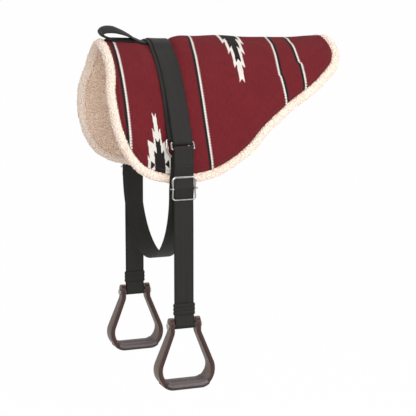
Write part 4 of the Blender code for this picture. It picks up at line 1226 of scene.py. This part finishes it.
wire_sides = 14
ring_inner_half, ring_inner_height = 0.0262, 0.022
girth_slack = 0.0007
girth_plane = half_width + 0.0036 + webbing_thickness / 2
girth_fold = wire_radius + girth_slack + webbing_thickness / 2
back_plane = dee_bar.x + dee_lean + girth_fold + webbing_thickness + 2 * gap
ring_step = ring_inner_height - 2 * wire_radius
ring_lean = back_plane + fold_radius - ring_bar.x
ring_low = ring_bar + Vector((ring_lean, -math.sqrt(ring_step ** 2 - ring_lean ** 2)))
both_sides = ((-1, "near"), (1, "off"))
for side, hand in both_sides:
    corner = dee_bow_reach - webbing_width / 2
    flat_path = rounded_corners([(Vector((-dee_bow_reach, -dee_leg)), 0),
                                 (Vector((-dee_bow_reach, 0.0)), corner),
                                 (Vector((dee_bow_reach, 0.0)), corner),
                                 (Vector((dee_bow_reach, -dee_leg)), 0)], 8)
    flat_path += arc(Vector((0.0, -dee_leg)), dee_bow_reach, 0, -180, 36)[1:-1]
    line = [Vector((understrap + p.x, side * (dee_bar.x - p.y * lean_share), dee_bar.y + p.y))
            for p in flat_path]
    metal(hand + "_girth_dee", tube("dee", line, [wire_radius] * len(line), wire_sides),
          "pad", hand + "_dee")
    ring_half = ring_inner_half + wire_radius
    corner = ring_half - webbing_width / 2 - gap
    outline = rounded_corners([(Vector((-ring_half, 0.0)), corner),
                               (Vector((ring_half, 0.0)), corner),
                               (Vector((ring_half, -ring_step)), corner),
                               (Vector((-ring_half, -ring_step)), corner)], 8)
    ring_across = (ring_low - ring_bar) / ring_step
    line = [Vector((overstrap + p.x, side * (ring_bar.x - p.y * ring_across.x),
                    ring_bar.y - p.y * ring_across.y)) for p in outline]
    metal(hand + "_stirrup_ring", tube("ring", line, [wire_radius] * len(line), wire_sides),
          hand + "_ring", hand + "_strap_ring")

# Girth: one strip of the same webbing. Each end goes round a dee's bow, where it gathers into
# soft pleats, and is sewn back on itself. Below, it opens to its full width.

girth_drop = 0.5555
bow_height = dee_bar.y - dee_leg
flare = 1.6 * webbing_width
legs_from, legs_to = dee_bow_reach + 2.4 * girth_fold, dee_bow_reach + 0.028
gathered = math.radians(35)
pleat_height, pleat_turns, pleat_rise = 0.0006, 9.5, 0.01


def girth_row(reach, off, side):
    """A row across the girth near a dee: reach is the distance from the bow's middle, off
    the distance out from the dee's own plane."""
    row = []
    beyond = reach - dee_bow_reach - girth_fold
    for share in np.linspace(-1, 1, 17):
        turn = gathered * share
        fan = Vector((reach * math.sin(turn), -reach * math.cos(turn)))
        flat = Vector((share * webbing_width / 2, -reach))
        place = fan.lerp(flat, ease(beyond / flare))
        if beyond > 0:
            at_bow = (dee_bow_reach + girth_fold) * math.sin(turn)
            place.x = at_bow + (flat.x - at_bow) * ease(beyond / flare)
        lean = dee_bar.x - (place.y - dee_leg) * lean_share
        pleat = (pleat_height * math.sin(share * pleat_turns) * ease(beyond / pleat_rise)
                 * (1 - ease(beyond / flare)))
        out = lean + (girth_plane - lean) * ease(beyond / (4 * girth_fold)) + pleat
        row.append(Vector((understrap + place.x, side * (out + off), bow_height + place.y)))
    return row


def girth_end(side):
    """The end of the girth: sewn back on the inside, round the bow, then down outside."""
    legs = [legs_from + (legs_to - legs_from) * step / 6 for step in range(7)]
    centre = Vector((dee_bow_reach, 0.0))
    round_bow = wrapped(centre, girth_fold, Vector((legs_from, -layer_pitch)),
                        Vector((legs_from, 0.0)), -1, 16)
    rows = [girth_row(reach, -layer_pitch, side) for reach in reversed(legs)]
    rows += [girth_row(place.x, place.y, side) for place in round_bow]
    rows += [girth_row(reach, 0.0, side) for reach in legs]
    rows += [girth_row(dee_bow_reach + flare * share, 0.0, side) for share in (0.5, 0.7, 0.85, 1.0)]
    return rows


near_end, off_end = girth_end(-1), girth_end(1)
turn_height = near_end[-1][0].z
girth_fall = turn_height - level(girth_drop)
middle_rows = []
middle_steps = 40
for step in range(1, middle_steps):
    turn = math.pi * step / middle_steps
    place = Vector((-girth_plane * math.cos(turn), turn_height - girth_fall * math.sin(turn)))
    middle_rows.append([Vector((p.x, place.x, place.y)) for p in near_end[-1]])
belly_girth, length = webbing("belly_girth", near_end + middle_rows + list(reversed(off_end)),
                              across=17)
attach(belly_girth, "girth")
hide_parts("girth_strap")

# Stirrup straps: on each side, the sewn end goes round the slide buckle's bar, up behind, over
# the ring and down in front, over the bar again, and down round the stirrup's bolt.

# Bonded nylon thread: black and a little glossy, so its stitches catch the light on the webbing
black_thread = thread_finish("bonded black thread", {
    "Roughness": 0.45, "Specular IOR Level": 0.5}, "#0D0D0D", "#242322")

# Levels below the crossing: the buckle's bar, the keeper and the stirrup's bolt
buckle_drop, bolt_drop = 0.351, 0.692
keeper_drop = bolt_drop - 0.0405
buckle_half_width, buckle_half_height = 0.0295, 0.0276
waist_half, bar_flat_half = 0.0281, 0.0169
buckle_wire_radius = 0.00225
bar_radius = 0.00215
bar_fold_radius = bar_radius + gap + webbing_thickness / 2
front_plane = ring_low.x + fold_radius
buckle_bar = Vector((back_plane + bar_fold_radius, level(buckle_drop)))
strap_plane = back_plane + 2 * layer_pitch
frame_plane = strap_plane + webbing_thickness / 2 + gap + buckle_wire_radius
over_bar_plane = buckle_bar.x + bar_fold_radius + layer_pitch
keeper_level = level(keeper_drop)
keeper_height = 0.028
bolt = Vector((strap_plane + layer_pitch / 2, level(bolt_drop)))
sleeve_radius = 0.00635
loop_radius = sleeve_radius + gap + webbing_thickness / 2

frame_rise = 0.012
thin_wide, thin_deep = 0.0020, 0.0018
thick_wide, thick_deep = 0.0009, 0.0003


def cast_frame(name, outline, side):
    """The slide buckle's frame: a flat oval section, broad above the bar and at the top, and
    narrower at the waist and below it."""
    rings = []
    for i, here in enumerate(outline):
        heading = (outline[(i + 1) % len(outline)] - outline[i - 1]).normalized()
        across = Vector((-heading.y, heading.x))
        above = ease(here.y / frame_rise)
        half_wide = thin_wide + thick_wide * above
        half_deep = thin_deep + thick_deep * above
        ring = []
        for step in range(wire_sides):
            turn = 2 * math.pi * step / wire_sides
            place = here + across * half_wide * math.cos(turn)
            ring.append((overstrap + place.x, side * (frame_plane + half_deep * math.sin(turn)),
                         buckle_bar.y + place.y))
        rings.append(ring)
    return skin(name, rings, True)


for side, hand in both_sides:
    sewn_top = Vector((back_plane + layer_pitch, buckle_bar.y + sewn_back))
    sewn_low = Vector((back_plane + layer_pitch, buckle_bar.y + 3.5 * bar_fold_radius))
    behind = [Vector((back_plane, buckle_bar.y + 2 * bar_fold_radius)),
              Vector((back_plane, ring_low.y - fold_radius))]
    upper = [sewn_top, sewn_low]
    upper += wrapped(buckle_bar, bar_fold_radius, sewn_low, behind[0], -1, 18) + behind
    bar_front = Vector((over_bar_plane, buckle_bar.y))
    stub = Vector((0.0, bar_fold_radius / 2))
    front = [Vector((front_plane, ring_low.y - share * sewn_back)) for share in (0.1, 0.5, 1.0)]
    ring_fold = wrapped(ring_low, fold_radius, behind[-1], front[0], -1, 18)
    upper += [Vector((p.x, p.y + slack * ease((p.y - ring_low.y) / fold_radius)))
              for p in ring_fold] + front[:1]
    behind_top = Vector((strap_plane, buckle_bar.y + buckle_half_height))
    front_part = smooth_path(front[1:] + [behind_top, bar_front + stub], 6)
    upper += front_part + [bar_front + Vector((0.0, gap / 2))]
    loop, length = webbing(hand + "_ring_loop", around(upper, overstrap, side))
    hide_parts(hand + "_strap_loop")

    # Bar tack that closes the loop under the ring: short rows across the strap's rear half
    tack_level, tack_pitch, tack_ends, tack_lift = 0.0535, 0.0034, (0.0015, 0.0215), 0.0001
    tack_plane = front_plane + webbing_thickness / 2 + tack_lift
    rows = [[Vector((overstrap + end, side * tack_plane,
                     buckle_bar.y + tack_level + tack_pitch * row)) for end in tack_ends]
            for row in range(5)]
    tack = seam(hand + "_bar_tack", rows, pitch=0.0024, length=0.0026, thread_radius=0.0006,
                thread=black_thread)
    for piece in (loop, tack):
        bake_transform(piece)

    behind_foot = Vector((strap_plane, buckle_bar.y - buckle_half_height))
    keeper_low = keeper_level - 0.6 * keeper_height
    lower = [bar_front - Vector((0.0, gap / 2))]
    lower += smooth_path([bar_front - stub, behind_foot,
                          behind_foot - Vector((0.0, buckle_half_height))], 6)
    lower += [Vector((strap_plane, keeper_level + share * sewn_back)) for share in (2, 0.5)]
    lower += [Vector((strap_plane, keeper_low))]
    tail = [Vector((strap_plane + layer_pitch, keeper_low)),
            Vector((strap_plane + layer_pitch, keeper_level + 0.2 * keeper_height))]
    lower += wrapped(bolt, loop_radius, lower[-1], tail[0], 1, 24) + tail
    hanger, length = webbing(hand + "_stirrup_leather", around(lower, overstrap, side))
    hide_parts(hand + "_stirrup_strap")
    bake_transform(hanger)

    # Slide buckle: a nickel-plated frame, thicker above its bar and drawn in at its waist. The
    # bar's ends are curled round the frame's sides.
    corners = [(Vector((-buckle_half_width, buckle_half_height)), 0.009),
               (Vector((buckle_half_width, buckle_half_height)), 0.009),
               (Vector((waist_half, 0.0)), 0.014),
               (Vector((buckle_half_width, -buckle_half_height)), 0.007),
               (Vector((-buckle_half_width, -buckle_half_height)), 0.007),
               (Vector((-waist_half, 0.0)), 0.014)]
    outline = rounded_corners(corners, 10)
    metal(hand + "_slide_frame", cast_frame("slide frame", outline, side),
          hand + "_buckle", hand + "_buckle_frame")
    eye_radius = frame_plane - buckle_bar.x
    curl = arc(Vector((waist_half, frame_plane)), eye_radius, -90, 100, 18)
    half_bar = [Vector((0.0, buckle_bar.x)), Vector((bar_flat_half, buckle_bar.x))] + curl
    bar_path = [Vector((-p.x, p.y)) for p in reversed(half_bar[1:])] + half_bar
    line = [Vector((overstrap + p.x, side * p.y, buckle_bar.y)) for p in bar_path]
    metal(hand + "_slide_bar",
          tube("slide bar", line, [bar_radius] * len(line), wire_sides, closed=False),
          hand + "_buckle", hand + "_buckle_bar")

# Keepers: a folded band of webbing, sewn across in two lines so that it stands in three
# ridges. It holds the strap's tail against the strap above each stirrup.

keeper_wall, keeper_ridge = 0.0012, 0.0010
keeper_map_half = 0.021
for side, hand in both_sides:
    band_middle = strap_plane + layer_pitch / 2
    inner_half = webbing_width / 2 + gap
    inner_depth = layer_pitch / 2 + webbing_thickness / 2 + gap
    profile = []
    for step in range(37):
        share = step / 36
        profile.append((share, keeper_wall + keeper_ridge * abs(math.sin(3 * math.pi * share))))
    profile += [(1.0, 0.0), (0.0, 0.0)]
    rings, flat_places = [], []
    for share, swell in profile:
        half, depth = inner_half + swell, inner_depth + swell
        turned_over = min(depth * 0.8, swell + 0.0009)
        ring = rounded_corners([(Vector((-half, -depth)), turned_over),
                                (Vector((half, -depth)), turned_over),
                                (Vector((half, depth)), turned_over),
                                (Vector((-half, depth)), turned_over)], 4)
        height = keeper_level + keeper_height * (share - 0.5)
        rings.append([Vector((overstrap + p.x, side * (band_middle + p.y), height))
                      for p in ring])
        flat_places += [(p.x, keeper_map_half * (share * 2 - 1)) for p in ring]
    mesh = skin(hand + "_keeper_band", rings, True)
    flat_map(mesh, "weave", flat_places)
    keeper = new_object(hand + "_keeper_band", mesh, [nylon])
    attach(keeper, hand + "_hanger")
    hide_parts(hand + "_strap_keeper")

# Stirrups: a board of ash steamed round into a bell, stained dark and waxed, with rounded
# tops. A steel bolt through both posts carries it in the strap's loop, with a sleeve round it.

# Stained ash: fine grain along the bend, with blotches where the stain took unevenly


def wood_finish(name, values, stretch, noise, blotches, dark, pale, tint, relief):
    """Waxed wood with its grain along the first axis of its map, where stretch is how fine it
    is along and across the board."""
    finish, tree, shader = new_finish(name, values)
    flat = add(tree, "ShaderNodeUVMap", {}, uv_map="grain")
    stretched = add(tree, "ShaderNodeMapping", {"Vector": flat, "Scale": (*stretch, 1.0)})
    grain = add(tree, "ShaderNodeTexNoise", {"Vector": stretched, "Scale": 1.0})
    fill_in(tree, grain, noise)
    blotch = add(tree, "ShaderNodeTexNoise", {"Vector": flat, "Scale": blotches, "Detail": 3.0})
    stain = add(tree, "ShaderNodeMix", {
        "Factor": grain, "A": colour(dark), "B": colour(pale)}, data_type="RGBA")
    stain = add(tree, "ShaderNodeMix", {
        "Factor": blotch, "A": stain, "B": colour(tint)}, data_type="RGBA", blend_type="MULTIPLY")
    bump = add(tree, "ShaderNodeBump", {"Height": grain})
    fill_in(tree, bump, relief)
    fill_in(tree, shader, {"Base Color": stain, "Normal": bump})
    return finish


# Red-brown and smooth where the layers' edges show. The broad faces show the long grain, and
# are painted paler and greyer as a reflection of the bright room on the wax
edge_wood = wood_finish(
    "stained ash edge grain", {
        "Roughness": 0.48, "Specular IOR Level": 0.35, "Coat Weight": 0.08, "Coat Roughness": 0.3},
    (22.0, 700.0), {"Detail": 5.0, "Roughness": 0.6}, 40.0, "#220F0B", "#45241C", "#D8C4BC",
    {"Strength": 0.25, "Distance": 0.0004})
face_wood_painted_reflection = wood_finish(
    "ash long grain with painted reflection", {
        "Roughness": 0.5, "Specular IOR Level": 0.4, "Coat Weight": 0.1, "Coat Roughness": 0.3},
    (14.0, 380.0), {"Detail": 6.0, "Roughness": 0.65, "Distortion": 0.4}, 30.0,
    "#493731", "#857167", "#DDD0C8", {"Strength": 0.35, "Distance": 0.0005})

# Oiled leather: grained and scuffed paler where a foot rubs. Its underside is painted darker
# as shade, since the light falls from above; its map marks the underside by moving it sideways,
# further than the board is wide.
underside_shift, underside_from = 0.2, 0.1
hide, tree, shader = new_finish("oiled tread leather", {
    "Roughness": 0.55, "Specular IOR Level": 0.45})
place = add(tree, "ShaderNodeTexCoord", {})
pores = add(tree, "ShaderNodeTexVoronoi", {
    "Vector": place.outputs["Object"], "Scale": 420.0}, feature="DISTANCE_TO_EDGE")
stretched = add(tree, "ShaderNodeMapping", {
    "Vector": place.outputs["Object"], "Scale": (18.0, 90.0, 90.0)})
scuffs = add(tree, "ShaderNodeTexNoise", {
    "Vector": stretched, "Scale": 1.0, "Detail": 5.0, "Roughness": 0.7})
tan = add(tree, "ShaderNodeMix", {
    "Factor": scuffs, "A": colour("#302726"), "B": colour("#75686A")}, data_type="RGBA")
flat = add(tree, "ShaderNodeUVMap", {}, uv_map="grain")
axes = add(tree, "ShaderNodeSeparateXYZ", {0: flat})
# Painted shade: the underside, where the map is moved sideways, is darkened
under = add(tree, "ShaderNodeMath", {
    0: axes.outputs["Y"], 1: underside_from}, operation="GREATER_THAN")
tan = add(tree, "ShaderNodeMix", {
    "Factor": under, "A": tan, "B": colour("#8E8280")}, data_type="RGBA", blend_type="MULTIPLY")
rough = add(tree, "ShaderNodeMapRange", {"Value": scuffs, "To Min": 0.42, "To Max": 0.68})
grained = add(tree, "ShaderNodeMath", {0: pores, 1: 1.5, 2: scuffs}, operation="MULTIPLY_ADD")
bump = add(tree, "ShaderNodeBump", {"Strength": 0.5, "Distance": 0.0006, "Height": grained})
fill_in(tree, shader, {"Base Color": tan, "Roughness": rough, "Normal": bump})

# Half the bell as a path from its post's round top to the middle of the tread, then all of it
neck_half = 0.028
stirrup_wood = 0.0125
stirrup_height = 0.170
post_depth, tread_depth = 0.029, 0.056
leather = 0.0018
wood_half = stirrup_wood / 2
post_top = 0.6722
widest = 0.8105
tread_drop = 0.8475
post_x = neck_half + wood_half
corners = [(Vector((post_x, level(post_top))), 0),
           (Vector((post_x, level(post_top + 0.036))), 0.026),
           (Vector((0.0752, level(widest))), 0.044),
           (Vector((0.0480, level(tread_drop) + wood_half)), 0.027),
           (Vector((0.0, level(tread_drop) + wood_half)), 0)]
half_path = rounded_corners(corners, 14)
crown = post_depth / 2
post = [Vector((post_x, level(post_top) - crown * (1 - math.cos(math.radians(turn)))))
        for turn in (6, 14, 24, 35, 46, 57, 68, 79, 90)]
half_path = post + half_path[1:]
half_path = half_path[:-1] + [half_path[-2].lerp(half_path[-1], step / 8)
                              for step in range(1, 9)]
bell = half_path + [Vector((-p.x, p.y)) for p in reversed(half_path[:-1])]

ridge_half = 0.0021
hollow_rounding = 0.0034


def board_section(half, depth, rounding, ridge_height, steps):
    """A section of the board: rounded corners, and an optional ridge on its inner face."""
    corners = ((-half, depth), (half, depth), (half, -depth), (-half, -depth))
    section = rounded_corners([(Vector(corner), rounding) for corner in corners], steps)
    inner = []
    for place in np.linspace(half - 1.6 * rounding, -half + 1.6 * rounding, 13):
        rise = ridge_height * math.exp(-(place / ridge_half) ** 2)
        inner.append(Vector((float(place), -depth - rise)))
    cut = len(section) - (steps + 1)
    return section[:cut] + inner + section[cut:]


def board(name, indices, side, grow, rounding, ridge_height, steps=4, hollow=None):
    """The bent board along the bell's path, grown all round by so much. Where a hollow is
    given, it is a cover with that much room round the board inside."""
    rings, flat_places = [], []
    for pass_grow in ([grow] if hollow is None else [grow, hollow]):
        run_length = 0.0
        for count, index in enumerate(indices):
            here = bell[index]
            heading = (bell[min(index + 1, len(bell) - 1)] - bell[max(index - 1, 0)]).normalized()
            normal = Vector((-heading.y, heading.x))
            fall = (level(post_top) - here.y) / stirrup_height
            wide = post_depth + (tread_depth - post_depth) * max(fall, 0.0) ** 2.6
            above = here.y - (level(post_top) - crown)
            if above > 0:
                wide = 2 * math.sqrt(max(crown ** 2 - above ** 2, 1e-8))
            half, depth = wide / 2 + pass_grow, wood_half + pass_grow
            rise = ridge_height if pass_grow == grow else 0.0
            cut = min(rounding if pass_grow == grow else hollow_rounding, 0.45 * half)
            section = board_section(half, depth, cut, rise, steps)
            if count:
                run_length += (here - bell[indices[count - 1]]).length
            rings.append([Vector((overstrap + here.x + normal.x * p.y, side * bolt.x + p.x,
                                  here.y + normal.y * p.y)) for p in section])
            flat_places.append([(run_length, p.x + (underside_shift if p.y > 0 else 0.0))
                                for p in section])
    if hollow is not None:
        # The rings go back inside from the far end, and close round the cover's ends
        rings[len(indices):] = reversed(rings[len(indices):])
        flat_places[len(indices):] = reversed(flat_places[len(indices):])
    mesh = skin(name, rings, hollow is not None)
    flat_map(mesh, "grain", [place for row in flat_places for place in row])
    return mesh


def lathe(name, side, profile, sides, solid=False):
    """A piece turned about the stirrup bolt, from a profile of (x, radius). A solid one has
    flat ends, and the profile of another is a closed outline."""
    turns = [2 * math.pi * step / sides for step in range(sides)]
    rings = [[(overstrap + x, side * bolt.x + radius * math.cos(turn),
               bolt.y + radius * math.sin(turn)) for turn in turns] for x, radius in profile]
    mesh = skin(name, rings, not solid)
    mesh.set_sharp_from_angle(angle=math.radians(35))
    return mesh


bolt_radius = 0.0039
hole = bolt_radius + gap
chamfer = 0.0004
outer_x = neck_half + stirrup_wood
head_radius, head_height = 0.0085, 0.0040
nut_radius, nut_crown, nut_bevel = 0.0075, 0.0064, 0.0012
thread_end = outer_x + gap + head_height
board_rounding = 0.0040
tread_reach, tread_rounding, seam_rise = 0.0545, 0.0076, 0.0020
lace_reach, lace_apart, lace_lift = 0.036, 0.0055, 0.0001
for side, hand in both_sides:
    wood_mesh = board(hand + "_bell", range(len(bell)), side, 0.0, board_rounding, 0.0)
    stirrup = new_object(hand + "_bell", wood_mesh, [edge_wood, face_wood_painted_reflection])
    # The edges take the red-brown stain, and the broad faces the copy painted with reflection
    for face in wood_mesh.polygons:
        face.material_index = 0 if abs(face.normal.y) > 0.6 else 1
    drill_mesh = lathe("drill", side, [(-2 * post_x, 0.0003), (-2 * post_x, hole),
                                       (2 * post_x, hole), (2 * post_x, 0.0003)], 32,
                       solid=True)
    drill = new_object("drill", drill_mesh, [face_wood_painted_reflection])
    bored = stirrup.modifiers.new("bolt hole", "BOOLEAN")
    bored.operation = "DIFFERENCE"
    bored.solver = "EXACT"
    bored.object = drill
    drilled = bpy.data.meshes.new_from_object(
        stirrup.evaluated_get(bpy.context.evaluated_depsgraph_get()))
    stirrup.modifiers.remove(bored)
    stirrup.data = drilled
    bpy.data.objects.remove(drill, do_unlink=True)
    drilled.set_sharp_from_angle(angle=math.radians(40))
    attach(stirrup, hand + "_stirrup")
    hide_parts(hand + "_stirrup_frame")

    covered = [i for i, p in enumerate(bell) if abs(p.x) < tread_reach and p.y < level(widest)]
    tread = new_object(hand + "_tread_leather",
                       board(hand + "_tread_leather", covered, side, gap + leather,
                             tread_rounding, seam_rise, hollow=gap), [hide])
    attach(tread, hand + "_stirrup")
    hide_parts(hand + "_tread_cover")

    # Lacing beside the seam ridge, where the leather's two edges meet over the tread
    lines = [[Vector((overstrap + x, side * bolt.x + v,
                      level(tread_drop) + stirrup_wood + gap + leather + lace_lift))
              for x in (-lace_reach, lace_reach)] for v in (-lace_apart, lace_apart)]
    lacing = seam(hand + "_tread_lacing", lines, pitch=0.0055, length=0.0038,
                  thread_radius=0.0006, thread=black_thread)
    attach(lacing, hand + "_stirrup")

    head = [(-thread_end - 0.0012, 0.0004), (-thread_end - 0.0011, 0.35 * head_radius),
            (-thread_end - 0.0006, 0.62 * head_radius), (-thread_end + 0.0004, 0.86 * head_radius),
            (-outer_x - gap - 0.0020, head_radius), (-outer_x - gap, head_radius),
            (-outer_x - gap, bolt_radius), (thread_end - chamfer, bolt_radius),
            (thread_end, bolt_radius - chamfer), (thread_end, 0.0004)]
    metal(hand + "_post_bolt", lathe("bolt", side, head, 40, solid=True), hand + "_hanger",
          hand + "_stirrup_bolt")
    sleeve_end = neck_half - gap
    sleeve = [(-sleeve_end, hole), (-sleeve_end, sleeve_radius - chamfer),
              (-sleeve_end + chamfer, sleeve_radius), (sleeve_end - chamfer, sleeve_radius),
              (sleeve_end, sleeve_radius - chamfer), (sleeve_end, hole)]
    metal(hand + "_post_sleeve", lathe("sleeve", side, sleeve, 40), hand + "_hanger",
          hand + "_bolt_sleeve")
    nut = [(outer_x + gap, hole), (outer_x + gap, nut_radius), (thread_end - nut_bevel, nut_radius),
           (thread_end, nut_crown), (thread_end, hole)]
    metal(hand + "_lock_nut", lathe("nut", side, nut, 12), hand + "_hanger", hand + "_bolt_nut")
